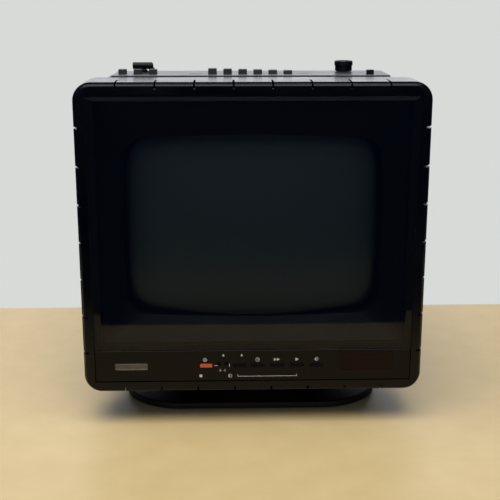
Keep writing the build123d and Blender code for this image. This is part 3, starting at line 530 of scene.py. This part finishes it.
# front frame: one moulding with a stepped rim and a row of narrow notches across it
framePart = {"corner": 15.0, "step": 1.5, "landRound": 2.0, "backRound": 1.2, "depth": 50.0, "shell": 3.0,
             "rimThick": 8.5, "rimDeep": 27.0, "openHalf": 134.8, "openLow": 8.6, "openTop": 252.8,
             "notchWide": 1.6, "notchDeep": 5.4, "notchLong": 24.0, "notchPitchX": 31.4, "notchPitchZ": 31.8,
             "notchMid": 130.4, "notchBevel": 0.22, "notchesAcross": 8, "notchesUp": 7}


def frameRing(inset, depth):
    return ringPoints(frameW / 2 - inset, frameH / 2 - inset, framePart["corner"] - inset, frameMid, depth, 10)


def openingRing(grow, depth):
    low, high = framePart["openLow"] - grow, framePart["openTop"] + grow
    return ringPoints(framePart["openHalf"] + grow, (high - low) / 2, 0.4 + grow, (low + high) / 2, depth, 10)


frameRings = [openingRing(0.0, 8.0), openingRing(0.0, 0.3), openingRing(0.1, 0.08), openingRing(0.3, 0.0)]
for turn in range(0, 91, 15):
    angle, size = math.radians(turn), framePart["landRound"]
    frameRings.append(frameRing(framePart["step"] + size * (1 - math.sin(angle)), size * (1 - math.cos(angle))))
frameRings += [frameRing(framePart["step"], 4.9), frameRing(framePart["step"] - 0.1, 5.0),
               frameRing(0.3, 5.0), frameRing(0.08, 5.1), frameRing(0.0, 5.4)]
for turn in range(0, 91, 30):
    angle, size = math.radians(turn), framePart["backRound"]
    frameRings.append(frameRing(size * (1 - math.cos(angle)), framePart["depth"] - size * (1 - math.sin(angle))))
frameRings += [frameRing(framePart["shell"], framePart["depth"]),
               frameRing(framePart["shell"], framePart["rimDeep"]),
               frameRing(framePart["rimThick"], framePart["rimDeep"]), frameRing(framePart["rimThick"], 8.0)]
frameShape = finishMesh(loftRings(frameRings, closed=True), "frame_moulding")


def notchTree():
    # two grids of points, one along the top and bottom and one up the sides, each with a block on every point
    sockets = [("Count Across", "NodeSocketInt", 8), ("Count Up", "NodeSocketInt", 7),
               ("Span Across", "NodeSocketFloat", 0.1), ("Span Up", "NodeSocketFloat", 0.1),
               ("Width", "NodeSocketFloat", 0.1), ("Height", "NodeSocketFloat", 0.1),
               ("Side Shift", "NodeSocketVector", None), ("Across Block", "NodeSocketVector", None),
               ("Up Block", "NodeSocketVector", None)]
    tree, start, end, identifiers = geometryTree("notch_rows", sockets)
    two = {"Vertices Y": 2}
    across = addNode(tree, "GeometryNodeMeshGrid", two,
                     {"Size X": start.outputs["Span Across"], "Size Y": start.outputs["Height"],
                      "Vertices X": start.outputs["Count Across"]})
    upward = addNode(tree, "GeometryNodeMeshGrid", {"Vertices X": 2},
                     {"Size X": start.outputs["Width"], "Size Y": start.outputs["Span Up"],
                      "Vertices Y": start.outputs["Count Up"]})
    shifted = addNode(tree, "GeometryNodeTransform", {"Rotation": (math.radians(90), 0.0, 0.0)},
                      {"Geometry": upward.outputs["Mesh"], "Translation": start.outputs["Side Shift"]})
    stood = addNode(tree, "GeometryNodeTransform", {"Rotation": (math.radians(90), 0.0, 0.0)},
                    {"Geometry": across.outputs["Mesh"]})
    joined = addNode(tree, "GeometryNodeJoinGeometry")
    for points, size in ((stood, "Across Block"), (shifted, "Up Block")):
        block = addNode(tree, "GeometryNodeMeshCube", links={"Size": start.outputs[size]})
        placed = addNode(tree, "GeometryNodeInstanceOnPoints",
                         links={"Points": points.outputs["Geometry"], "Instance": block.outputs["Mesh"]})
        tree.links.new(placed.outputs["Instances"], joined.inputs["Geometry"])
    finishTree(tree, end, joined.outputs["Geometry"], absGloss)
    return tree, identifiers


cutTree, cutNames = notchTree()
deep, wide = framePart["notchDeep"] * mm, framePart["notchWide"] * mm
long = (framePart["notchLong"] * 2) * mm
across, upward = framePart["notchesAcross"], framePart["notchesUp"]
cutters = growPiece("notch_cutters", cutTree, cutNames, {
    "Count Across": across, "Count Up": upward,
    "Span Across": (across - 1) * framePart["notchPitchX"] * mm,
    "Span Up": (upward - 1) * framePart["notchPitchZ"] * mm,
    "Width": frameW * mm, "Height": frameH * mm,
    "Side Shift": (0.0, 0.0, (framePart["notchMid"] - frameMid) * mm),
    "Across Block": (wide, long, 2 * deep), "Up Block": (2 * deep, long, wide)})
cutters.data.transform(Matrix.Translation(place(0, 0, frameMid)))
cutter = frameShape.modifiers.new("notches", "BOOLEAN")
cutter.operation, cutter.solver, cutter.object = "DIFFERENCE", "EXACT", cutters
bakeModifiers(frameShape)
bpy.data.objects.remove(cutters)
edgeSoften = frameShape.modifiers.new("edges", "BEVEL")
edgeSoften.width, edgeSoften.segments, edgeSoften.limit_method = framePart["notchBevel"] * mm, 2, "ANGLE"
edgeSoften.angle_limit = math.radians(50)
bakeModifiers(frameShape)
shadeSmooth(frameShape, 40)

# ledge behind the filter and the strip, with the four posts that hold the tube
ledgePart = {"front": 1.8, "back": 5.0, "postX": 134.5, "postZ": 80, "postRadius": 4.5, "pilot": 1.9,
             "postBack": 36.0, "postRound": 0.4}
ledgeBars = ((-135.3, 135.3, 247.5, 253.3), (-135.3, 135.3, 32.0, 41.5), (-135.3, 135.3, 8.1, 13.0),
             (-135.3, -128.5, 41.5, 247.5), (128.5, 135.3, 41.5, 247.5), (-135.3, -127.0, 13.0, 32.0),
             (127.0, 135.3, 13.0, 32.0))        # left, right, low, high
ledgeMesh = bmesh.new()
for left, right, low, high in ledgeBars:
    addBlock(ledgeMesh, place(left, ledgePart["front"], low), place(right, ledgePart["back"], high))
postOuter, postHole, postEnd = ledgePart["postRadius"], ledgePart["pilot"], ledgePart["postBack"]
postProfile = [(postHole, ledgePart["back"]), (postOuter, ledgePart["back"]),
               (postOuter, postEnd - ledgePart["postRound"]), (postOuter - ledgePart["postRound"], postEnd),
               (postHole, postEnd), (postHole, ledgePart["back"])]
for signX in (-1, 1):
    for signZ in (-1, 1):
        addMesh(ledgeMesh, lathe(postProfile, place(signX * ledgePart["postX"], 0,
                                                    tubeMid + signZ * ledgePart["postZ"]), (0, 1, 0), 24))
ledge = finishMesh(ledgeMesh, "frame_ledge")
finishPiece(frameShape, absGloss, "cabinet", ["front_frame"])
finishPiece(ledge, absMask, "cabinet", ["front_frame"])
print("frame made")

# filter: a clear dark sheet with a bevelled edge
filterPart = {"halfWidth": 134.0, "low": 37.2, "top": 252.2, "proud": 1.2, "bevel": 5.4, "back": 1.8,
              "edgeRound": 0.14, "topLand": 1.4, "topBevel": 3.2}


def filterRing(inset, depth, topInset=None):
    low = filterPart["low"] + inset
    high = filterPart["top"] - (inset if topInset is None else topInset)
    return ringPoints(filterPart["halfWidth"] - inset, (high - low) / 2, 0.5, (low + high) / 2, depth, 4)


slopeIn, slopeOut = filterPart["bevel"], filterPart["proud"] - 0.1
soft = filterPart["edgeRound"]
topIn = filterPart["topLand"] + filterPart["topBevel"]
filterRings = [filterRing(0.15, filterPart["back"]), filterRing(0.0, filterPart["back"] - 0.15),
               filterRing(0.0, soft - 0.1), filterRing(soft * 0.3, -0.1),
               filterRing(soft * 0.6, -0.1 - soft * 0.2, filterPart["topLand"]),
               filterRing(soft, -0.1 - soft * 0.5, filterPart["topLand"] + soft),
               filterRing(slopeIn - soft * 1.4, -0.1 - slopeOut + soft * 0.7, topIn - soft * 1.4),
               filterRing(slopeIn - soft * 0.5, -0.1 - slopeOut + soft * 0.18, topIn - soft * 0.5),
               filterRing(slopeIn + soft, -filterPart["proud"], topIn + soft)]
filterSheet = finishMesh(loftRings(filterRings), "filter_sheet", 50)
finishPiece(filterSheet, smokedSheet, "cabinet", ["filter_panel"])

# mask: a mitred funnel from the opening back to the face of the tube
maskPart = {"middle": 144.5, "outer": (129.3, 104.5), "mouth": (126.9, 101.4), "inner": (126.5, 101.0),
            "behind": (128.5, 103.0), "front": 5.0, "flangeBack": 7.0, "deep": 20.0, "wall": 2.4, "gap": 0.35,
            "lip": 0.5}
tubePart = {"faceDepth": 15.0, "sphere": 480.0, "halfW": 117.0, "halfH": 90.0, "bow": 3.0, "corner": 24.0,
            "screenHalfW": 106.0, "screenHalfH": 75.0, "screenBow": 3.6, "screenCorner": 15.0, "faceSteps": 16,
            "skirt": ((0.0, 36.0), (0.0, 60.0), (-1.5, 62.0)),      # growth and depth
            "funnel": ((113, 86, 24, 62), (104, 79, 30, 74), (75, 63, 44, 96), (55, 50, 40, 114),
                       (40.1, 40.1, 40, 128), (27, 27, 26.9, 139), (17, 17, 16.9, 148), (14.5, 14.5, 14.4, 151),
                       (14.5, 14.5, 14.4, 240.6), (13.6, 13.6, 13.5, 242.7),
                       (11.5, 11.5, 11.4, 243.5))}                  # half width, half height, corner, depth


def onSphere(points, lift):
    # the same outline pushed back to the tube's domed face
    moved = []
    for point in points:
        x, z = point.x / mm, (point.z - underZ) / mm - tubeMid
        depth = tubePart["faceDepth"] + tubePart["sphere"] - math.sqrt(tubePart["sphere"] ** 2 - x * x - z * z)
        moved.append(Vector((point.x, faceY + (depth - lift) * mm, point.z)))
    return moved


def screenRing(grow, depth):
    return barrelPoints(tubePart["screenHalfW"] + grow, tubePart["screenHalfH"] + grow, tubePart["screenBow"],
                        tubePart["screenCorner"] + grow, tubeMid, depth)


def maskRing(size, corner, depth):
    return barrelPoints(*maskPart[size], 0, corner, maskPart["middle"], depth)


maskFront, maskFlange, maskDeep = maskPart["front"], maskPart["flangeBack"], maskPart["deep"]
maskRings = [maskRing("outer", 2, maskFlange), maskRing("outer", 2, maskFront),
             maskRing("mouth", 2.4, maskFront), maskRing("inner", 2, maskFront + maskPart["lip"]),
             screenRing(0.5, maskDeep - 0.4), screenRing(0.1, maskDeep - 0.1), screenRing(0.0, maskDeep + 0.2),
             onSphere(screenRing(0.0, 0), maskPart["gap"]),
             onSphere(screenRing(maskPart["wall"], 0), maskPart["gap"]),
             screenRing(maskPart["wall"], maskDeep + maskPart["lip"]), maskRing("behind", 4, maskFlange)]
mask = finishMesh(loftRings(maskRings, closed=True), "mask_funnel", 20)
finishPiece(mask, absMask, "cabinet", ["tube_mask"])

# tube: domed face and skirt of pressed glass, then a graphite-coated funnel with its neck
faceRings = []
for step in range(1, tubePart["faceSteps"] + 1):
    share = step / tubePart["faceSteps"]
    ring = barrelPoints(tubePart["halfW"] * share, tubePart["halfH"] * share, tubePart["bow"] * share,
                        tubePart["corner"] * share, tubeMid, 0)
    faceRings.append(onSphere(ring, 0))
for grow, depth in tubePart["skirt"]:
    faceRings.append(barrelPoints(tubePart["halfW"] + grow, tubePart["halfH"] + grow, tubePart["bow"],
                                  tubePart["corner"], tubeMid, depth))
glass = finishMesh(loftRings(faceRings), "screen_glass", 50)
finishPiece(glass, screenGlass, "cabinet", ["picture_tube"])
funnelRings = [barrelPoints(halfW, halfH, 0, corner, tubeMid, depth)
               for halfW, halfH, corner, depth in tubePart["funnel"]]
funnel = finishMesh(loftRings(funnelRings), "tube_funnel", 50)
finishPiece(funnel, graphite, "cabinet", ["picture_tube"])
print("filter, mask and tube made")

# merged, smoothly shaded copies of the mouldings
mouldings = [("rear_cabinet", "rear_moulding", absGrain, "cabinet", "cabinet_grey"),
             ("top_panel", "top_deck", absPanel, "cabinet", "cabinet_grey"),
             ("control_strip", "strip_moulding", absStrip, "cabinet", "strip_grey"),
             ("display_window", "clock_window", redWindow, "cabinet", "red_acrylic"),
             ("base_plate", "base_moulding", absBase, "base", "case_black"),
             ("turntable", "turntable_moulding", absBase, "cabinet", "case_black"),
             ("aerial_swivel", "swivel_knuckle", absKnob, "aerial_swivel", "knob_black"),
             ("aerial_section_1", "rod_1", chromeTube, "aerial_section_1", "chrome"),
             ("aerial_section_2", "rod_2", chromeTube, "aerial_section_2", "chrome"),
             ("aerial_section_3", "rod_3", chromeTube, "aerial_section_3", "chrome"),
             ("alarm_slider", "slider_cap", absKnob, "alarm_slider", "knob_black"),
             ("mute_button", "mute_cap", absKnob, "mute_button", "knob_black")]
for node, name, material, body, slotName in mouldings:
    finishPiece(smoothCopy(node, name), material, body, [node])
for node, name, count in (("push_button", "push_cap", 3), ("preset_key", "preset_cap", 6)):
    for number in range(1, count + 1):
        finishPiece(smoothCopy(f"{node}_{number}", f"{name}_{number}"), absKey, f"{node}_{number}",
                    [f"{node}_{number}"])
print("mouldings copied")

# bar keys of the strip
keyPart = {"z": 22.8, "high": 3.2, "wide": 11.2, "stopX": -40.2, "stopWide": 10.4, "inner": 2.0, "corner": 0.5,
           "flange": 1.0, "flangeBack": 2.9, "stemBack": 4.5, "stemHalf": 1.3,
           "clockX": (-11.9, 3.7, 20.7, 37.4, 53.9)}
# rings of the key's face: inset, depth at its low edge and at its high edge
keyFace = ((0.0, 2.0, 2.0), (0.0, -0.15, 0.55), (0.12, -0.36, 0.36), (0.35, -0.48, 0.3))


def keyPiece(node, name, centreX, width, material):
    # bar key whose face leans back towards the top, with its flange and stem behind
    halfW, halfH, middle = width / 2, keyPart["high"] / 2, keyPart["z"]
    rings = []
    for inset, depthLow, depthHigh in keyFace:
        ring = []
        for point in ringPoints(halfW - inset, halfH - inset, keyPart["corner"] - inset * 0.6, middle, 0, 4):
            share = ((point.z - underZ) / mm - middle + halfH) / keyPart["high"]
            ring.append(Vector((point.x + centreX * mm,
                                faceY + (depthLow + (depthHigh - depthLow) * share) * mm,
                                point.z)))
        rings.append(ring)
    mesh = loftRings(rings)
    sideways, upward, stem = halfW + keyPart["flange"], halfH + keyPart["flange"], keyPart["stemHalf"]
    addBlock(mesh, place(centreX - sideways, keyPart["inner"], middle - upward),
             place(centreX + sideways, keyPart["flangeBack"], middle + upward))
    addBlock(mesh, place(centreX - stem, keyPart["flangeBack"], middle - stem),
             place(centreX + stem, keyPart["stemBack"], middle + stem))
    return finishPiece(finishMesh(mesh, name, 40), material, node, [node])


keyPiece("stop_key", "stop_cap", keyPart["stopX"], keyPart["stopWide"], absOrange)
for number, centreX in enumerate(keyPart["clockX"], 1):
    keyPiece(f"clock_key_{number}", f"clock_cap_{number}", centreX, keyPart["wide"], absDark)

# printed symbols on the strip, as thin ink
printPart = {"near": 0.24, "far": 0.31, "iconZ": 27.9, "bellZ": 30.9, "bell": 1.1}
inkMesh = bmesh.new()


def inkShape(outline):
    addPrism(inkMesh, outline, printPart["near"], printPart["far"])


def inkBar(x0, z0, x1, z1):
    inkShape([(x0, z0), (x1, z0), (x1, z1), (x0, z1)])


def inkRing(centreX, centreZ, outer, inner, first=0, last=360, parts=20):
    for step in range(parts):
        a = math.radians(first + (last - first) * step / parts)
        b = math.radians(first + (last - first) * (step + 1) / parts)
        inkShape([(centreX + inner * math.cos(a), centreZ + inner * math.sin(a)),
                  (centreX + outer * math.cos(a), centreZ + outer * math.sin(a)),
                  (centreX + outer * math.cos(b), centreZ + outer * math.sin(b)),
                  (centreX + inner * math.cos(b), centreZ + inner * math.sin(b))])


def inkDisc(centreX, centreZ, radius, first=0, last=360, parts=20):
    arc = [math.radians(first + (last - first) * step / parts) for step in range(parts + 1)]
    points = [(centreX + radius * math.cos(a), centreZ + radius * math.sin(a)) for a in arc]
    inkShape(points[:-1] if last - first == 360 else points)


def inkArrow(left, centreZ, size):
    inkShape([(left, centreZ - size * 0.55), (left + size, centreZ), (left, centreZ + size * 0.55)])


def inkBell(centreX, lowZ, size):
    # a small bell: dome, brim and clapper
    inkShape([(centreX - 0.75 * size, lowZ + 0.5 * size), (centreX + 0.75 * size, lowZ + 0.5 * size),
              (centreX + 0.5 * size, lowZ + 1.5 * size), (centreX + 0.22 * size, lowZ + 1.9 * size),
              (centreX - 0.22 * size, lowZ + 1.9 * size), (centreX - 0.5 * size, lowZ + 1.5 * size)])
    inkBar(centreX - size, lowZ + 0.26 * size, centreX + size, lowZ + 0.5 * size)
    inkDisc(centreX, lowZ + 0.1 * size, 0.2 * size, parts=10)


iconZ = printPart["iconZ"]
inkRing(-41.1, iconZ, 1.7, 1.3)                  # clock stop, above the orange key
inkDisc(-41.1, iconZ, 0.65)
for bellX in (-25.5, -9.9):
    inkBell(bellX, printPart["bellZ"], printPart["bell"])
inkRing(3.7, iconZ, 1.8, 1.4)                    # clock dial and its hands
for bar in ((3.5, 27.8, 3.9, 29.0), (3.7, 27.7, 4.8, 28.0),
            (-33.2, 22.5, -30.4, 23.0), (-20.6, 21.6, -20.1, 24.4),          # each side of the slide switch
            (-28.6, 17.2, -28.2, 19.6), (-24.2, 17.2, -23.8, 19.6),          # below the slide switch
            (-28.2, 18.1, -27.0, 18.5), (-25.4, 18.1, -24.2, 18.5),
            (-1.6, 23.9, 9.2, 24.1), (-46.0, 12.3, -43.6, 14.7),      # line on a key, square at lower left
            (-13.3, 12.6, 37.4, 13.0), (-13.3, 13.0, -12.9, 14.6), (37.0, 13.0, 37.4, 14.6)):   # bracket line
    inkBar(*bar)
for left, arrow in ((17.6, 2.5), (20.2, 2.5), (36.1, 2.8)):
    inkArrow(left, iconZ, arrow)
for moonX, moonZ in ((53.9, iconZ), (-19.9, 13.4)):
    inkDisc(moonX, moonZ, 1.75, 100, 280)
    inkRing(moonX, moonZ, 1.78, 1.4)
finishPiece(finishMesh(inkMesh, "strip_symbols"), whiteInk, "cabinet")

# blank badge on the strip: a thin brushed plate with a raised edge and nothing written on it
badgePart = {"left": -117.7, "right": -89.9, "low": 19.4, "high": 25.0, "edge": 0.35}
badgeHalfW = (badgePart["right"] - badgePart["left"]) / 2
badgeHalfH = (badgePart["high"] - badgePart["low"]) / 2
badgeX, badgeZ = (badgePart["left"] + badgePart["right"]) / 2, (badgePart["low"] + badgePart["high"]) / 2
badgeRings = []
badgeSteps = ((0.0, -0.05), (0.0, 0.2), (0.1, 0.3),
              (badgePart["edge"], 0.3), (badgePart["edge"] + 0.12, 0.14))
for inset, rise in badgeSteps:
    ring = ringPoints(badgeHalfW - inset, badgeHalfH - inset, 0.8 - inset, badgeZ, 0.3 - rise, 5)
    badgeRings.append([point + Vector((badgeX * mm, 0, 0)) for point in ring])
finishPiece(finishMesh(loftRings(badgeRings), "blank_badge", 30), satinBadge, "cabinet")

# volume knob: turned body and cap with a ring of ribs
knobPart = {"x": 83.8, "depth": 105.0, "body": 7.1, "cap": 8.1, "low": 262.8, "mid": 267.6, "top": 271.8,
            "ribs": 30, "ribWide": 0.7, "ribDeep": 0.9}
knobBase = place(knobPart["x"], knobPart["depth"], 0)
capTop, capLow = knobPart["top"], knobPart["mid"]
knob = finishMesh(lathe([(0, 247), (3, 247), (3, knobPart["low"]), (6.8, knobPart["low"]),
                         (knobPart["body"], knobPart["low"] + 0.3), (knobPart["body"], capLow),
                         (knobPart["cap"] - 0.2, capLow), (knobPart["cap"], capLow + 0.3),
                         (knobPart["cap"], capTop - 1.0), (knobPart["cap"] - 0.3, capTop - 0.35),
                         (knobPart["cap"] - 1.0, capTop), (5.6, capTop),
                         (5.2, capTop - 0.35), (0, capTop - 0.45)],
                        knobBase, (0, 0, 1), 96), "volume_dial")


def ribTree():
    # a ring of points with a rib on each one, turned to face outwards
    sockets = [("Count", "NodeSocketInt", 30), ("Radius", "NodeSocketFloat", 0.01),
               ("Middle", "NodeSocketVector", None), ("Rib", "NodeSocketVector", None)]
    tree, start, end, identifiers = geometryTree("ring_of_ribs", sockets)
    ring = addNode(tree, "GeometryNodeMeshCircle", links={"Vertices": start.outputs["Count"],
                                                          "Radius": start.outputs["Radius"]})
    spot = addNode(tree, "GeometryNodeInputPosition")
    outward = addNode(tree, "FunctionNodeAlignEulerToVector",
                      links={"Vector": spot.outputs["Position"]}, axis="X")
    rib = addNode(tree, "GeometryNodeMeshCube", links={"Size": start.outputs["Rib"]})
    placed = addNode(tree, "GeometryNodeInstanceOnPoints",
                     links={"Points": ring.outputs["Mesh"], "Instance": rib.outputs["Mesh"],
                            "Rotation": outward.outputs["Rotation"]})
    moved = addNode(tree, "GeometryNodeTransform", links={"Geometry": placed.outputs["Instances"],
                                                          "Translation": start.outputs["Middle"]})
    finishTree(tree, end, moved.outputs["Geometry"], absKnob)
    return tree, identifiers


ribsTree, ribNames = ribTree()
ribHigh = capLow - knobPart["low"] - 0.4
ribs = growPiece("volume_ribs", ribsTree, ribNames, {
    "Count": knobPart["ribs"], "Radius": (knobPart["body"] - 0.05) * mm,
    "Middle": tuple(place(knobPart["x"], knobPart["depth"], capLow - ribHigh / 2)),
    "Rib": (knobPart["ribDeep"] * mm, knobPart["ribWide"] * mm, ribHigh * mm)})
finishPiece(knob, absKnob, "volume_knob", ["volume_knob"])
finishPiece(shadeSmooth(ribs), absKnob, "volume_knob")
pointerMesh = bmesh.new()
addBlock(pointerMesh, place(knobPart["x"] - 0.4, knobPart["depth"] - 7.4, capTop - 0.2),
         place(knobPart["x"] + 0.4, knobPart["depth"] - 5.7, capTop + 0.0))
bmesh.ops.bevel(pointerMesh, geom=pointerMesh.edges[:], offset=0.00008, segments=1, affect="EDGES")
finishPiece(finishMesh(pointerMesh, "volume_pointer"), whiteInk, "volume_knob")

# aerial mast: black moulded knuckle, then the chromed tube with a rolled mouth
mastPart = {"x": -89.35, "depth": 100.0, "height": 268.0, "slope": 10.0, "length": 146.0, "radius": 2.55,
            "sleeve": 16.0, "bore": 2.25, "cheek": 2.6, "pin": 1.25}
slope = math.radians(mastPart["slope"])
mastRoot = place(mastPart["x"], mastPart["depth"], mastPart["height"])
mastAxis = (0.0, math.cos(slope), -math.sin(slope))
size, reach = mastPart["radius"], mastPart["length"]
sleeve = lathe([(mastPart["pin"], -mastPart["cheek"]), (2.8, -mastPart["cheek"]),
                (3.0, -mastPart["cheek"] + 0.2),
                (3.0, mastPart["cheek"] - 0.2), (2.8, mastPart["cheek"]), (mastPart["pin"], mastPart["cheek"]),
                (mastPart["pin"], -mastPart["cheek"])], mastRoot, (1, 0, 0), 40)
addMesh(sleeve, lathe([(0, 2.7), (size, 2.7), (size, 3.4), (size, mastPart["sleeve"] - 0.6),
                       (size - 0.25, mastPart["sleeve"]), (0, mastPart["sleeve"])], mastRoot, mastAxis, 40))
finishPiece(finishMesh(sleeve, "mast_knuckle"), absKnob, "aerial_mast", ["aerial_mast"])
bore = mastPart["bore"]
tube = lathe([(bore, mastPart["sleeve"]), (size - 0.15, mastPart["sleeve"]), (size - 0.15, reach - 2.2),
              (size, reach - 1.8), (size, reach - 0.4), (size - 0.12, reach), (bore, reach),
              (bore, mastPart["sleeve"])], mastRoot, mastAxis, 48)
finishPiece(finishMesh(tube, "mast_tube"), chromeTube, "aerial_mast", ["aerial_mast"])

# moulded skirt round the foot of the swivel, where it meets the top panel
skirtPart = {"x": -94.0, "radius": 2.9, "low": 262.45, "top": 264.8, "hole": 1.6}
skirt = lathe([(skirtPart["hole"], skirtPart["low"]), (skirtPart["radius"], skirtPart["low"]),
               (skirtPart["radius"], skirtPart["top"] - 0.4), (skirtPart["radius"] - 0.3, skirtPart["top"]),
               (skirtPart["hole"], skirtPart["top"]), (skirtPart["hole"], skirtPart["low"])],
              place(skirtPart["x"], mastPart["depth"], 0), (0, 0, 1), 40)
finishPiece(finishMesh(skirt, "swivel_skirt"), absKnob, "aerial_swivel")

# sockets in the back: moulded collars with plated sleeves
socketPart = {"back": 285.0, "long": 16.0, "height": 34.0, "aerialX": 48.0, "earphoneX": 20.0}
back, near = socketPart["back"], socketPart["back"] - socketPart["long"]


collar, sleeveFoot = near + 4, near + 2      # floor of the aerial socket, foot of the jack's contact
socketShapes = (       # name, across, material, node, profile of radius and depth
    ("aerial_collar_ring", "aerialX", bakelite, "aerial_socket",
     [(4.8, collar), (4.8, back - 0.4), (5.0, back), (6.8, back), (7.0, back - 0.2), (7.0, near), (0, near),
      (0, collar), (4.8, collar)]),
    ("aerial_sleeve", "aerialX", chromeTube, "aerial_socket",
     [(4.3, collar), (4.75, collar), (4.75, back - 0.6), (4.5, back - 0.45), (4.3, back - 0.6), (4.3, collar)]),
    ("aerial_pin_sleeve", "aerialX", chromeTube, "aerial_socket",
     [(1.2, collar), (1.9, collar), (1.9, back - 1.6), (1.6, back - 1.4), (1.2, back - 1.6), (1.2, collar)]),
    ("earphone_collar", "earphoneX", bakelite, "earphone_jack",
     [(3.1, near), (4.5, near), (4.5, back - 0.2), (4.3, back), (3.1, back), (3.1, near)]),
    ("earphone_sleeve", "earphoneX", chromeTube, "earphone_jack",
     [(1.8, sleeveFoot), (3.05, sleeveFoot), (3.05, back - 0.2), (2.9, back - 0.05), (2.0, back - 0.05),
      (1.8, back - 0.3), (1.8, sleeveFoot)]))
for name, across, material, node, profile in socketShapes:
    centre = place(socketPart[across], 0, socketPart["height"])
    finishPiece(finishMesh(lathe(profile, centre, (0, 1, 0), 48), name), material, "cabinet",
                [node])

# woven dust screen behind the loudspeaker's slots
screenPart = {"x": 134.6, "depth": 84.0, "height": 150.0, "radius": 28.2, "threads": 60, "thick": 0.42}


def weaveTree():
    # a row of upright threads and a row of level ones, each as long as the round frame is there
    sockets = [("Threads", "NodeSocketInt", 60), ("Radius", "NodeSocketFloat", 0.03),
               ("Thick", "NodeSocketFloat", 0.0005), ("Middle", "NodeSocketVector", None)]
    tree, start, end, identifiers = geometryTree("woven_screen", sockets)
    joined = addNode(tree, "GeometryNodeJoinGeometry")
    double = addNode(tree, "ShaderNodeMath", {1: 1.96}, {0: start.outputs["Radius"]}, operation="MULTIPLY")
    gaps = addNode(tree, "ShaderNodeMath", {1: 1.0}, {0: start.outputs["Threads"]}, operation="SUBTRACT")
    pitch = addNode(tree, "ShaderNodeMath", links={0: double.outputs[0], 1: gaps.outputs[0]},
                    operation="DIVIDE")
    half = addNode(tree, "ShaderNodeMath", {1: -0.5}, {0: double.outputs[0]}, operation="MULTIPLY")
    for axis, other, side in (("Y", "Z", 0.5), ("Z", "Y", -0.5)):
        begin = addNode(tree, "ShaderNodeCombineXYZ", links={axis: half.outputs[0]})
        step = addNode(tree, "ShaderNodeCombineXYZ", links={axis: pitch.outputs[0]})
        line = addNode(tree, "GeometryNodeMeshLine", links={"Count": start.outputs["Threads"],
                                                            "Start Location": begin.outputs["Vector"],
                                                            "Offset": step.outputs["Vector"]})
        spot = addNode(tree, "ShaderNodeSeparateXYZ",
                       links={"Vector": addNode(tree, "GeometryNodeInputPosition").outputs["Position"]})
        share = addNode(tree, "ShaderNodeMath", links={0: spot.outputs[axis], 1: start.outputs["Radius"]},
                        operation="DIVIDE")
        square = addNode(tree, "ShaderNodeMath", links={0: share.outputs[0], 1: share.outputs[0]},
                         operation="MULTIPLY")
        rest = addNode(tree, "ShaderNodeMath", {0: 1.0}, {1: square.outputs[0]}, operation="SUBTRACT")
        length = addNode(tree, "ShaderNodeMath", links={0: rest.outputs[0]}, operation="SQRT")
        scale = addNode(tree, "ShaderNodeCombineXYZ", {"X": 1.0, axis: 1.0}, {other: length.outputs[0]})
        size = addNode(tree, "ShaderNodeCombineXYZ", links={"X": start.outputs["Thick"],
                                                            axis: start.outputs["Thick"],
                                                            other: double.outputs[0]})
        thread = addNode(tree, "GeometryNodeMeshCube", links={"Size": size.outputs["Vector"]})
        shift = addNode(tree, "ShaderNodeMath", {1: side}, {0: start.outputs["Thick"]}, operation="MULTIPLY")
        shiftBy = addNode(tree, "ShaderNodeCombineXYZ", links={"X": shift.outputs[0]})
        placed = addNode(tree, "GeometryNodeInstanceOnPoints",
                         links={"Points": line.outputs["Mesh"], "Instance": thread.outputs["Mesh"],
                                "Scale": scale.outputs["Vector"]})
        moved = addNode(tree, "GeometryNodeTransform", links={"Geometry": placed.outputs["Instances"],
                                                              "Translation": shiftBy.outputs["Vector"]})
        tree.links.new(moved.outputs["Geometry"], joined.inputs["Geometry"])
    put = addNode(tree, "GeometryNodeTransform", links={"Geometry": joined.outputs["Geometry"],
                                                        "Translation": start.outputs["Middle"]})
    finishTree(tree, end, put.outputs["Geometry"], wovenThread)
    return tree, identifiers


weave, weaveNames = weaveTree()
dustScreen = growPiece("dust_screen", weave, weaveNames, {
    "Threads": screenPart["threads"], "Radius": screenPart["radius"] * mm, "Thick": screenPart["thick"] * mm,
    "Middle": tuple(place(screenPart["x"], screenPart["depth"], screenPart["height"]))})
finishPiece(dustScreen, wovenThread, "cabinet")
print("knob, aerial, sockets and dust screen made")

plainNodes = {"base_feet": rubberPad, "glide_ring": nylonPart, "pivot_stud": zincSteel, "pivot_nut": zincSteel,
              "display_module": bakelite, "clock_board": boardSheet, "clock_switches": bakelite,
              "rim_band": zincSteel, "tube_screws": zincSteel, "deflection_yoke": varnishedCopper,
              "tube_socket": nylonPart, "neck_board": boardSheet, "cabinet_screws": zincSteel,
              "main_board": boardSheet, "line_transformer": bakelite, "mains_transformer": zincSteel,
              "heat_sink": extrudedAlloy, "capacitor": bakelite, "tuner_can": zincSteel, "speaker": zincSteel,
              "speaker_cone": conePaper, "switch_banks": bakelite, "volume_pot": zincSteel,
              "aerial_collar": absKnob, "mains_inlet": bakelite}
for node, material in plainNodes.items():
    paintNode(node, material)
print("symbols and plain nodes done")
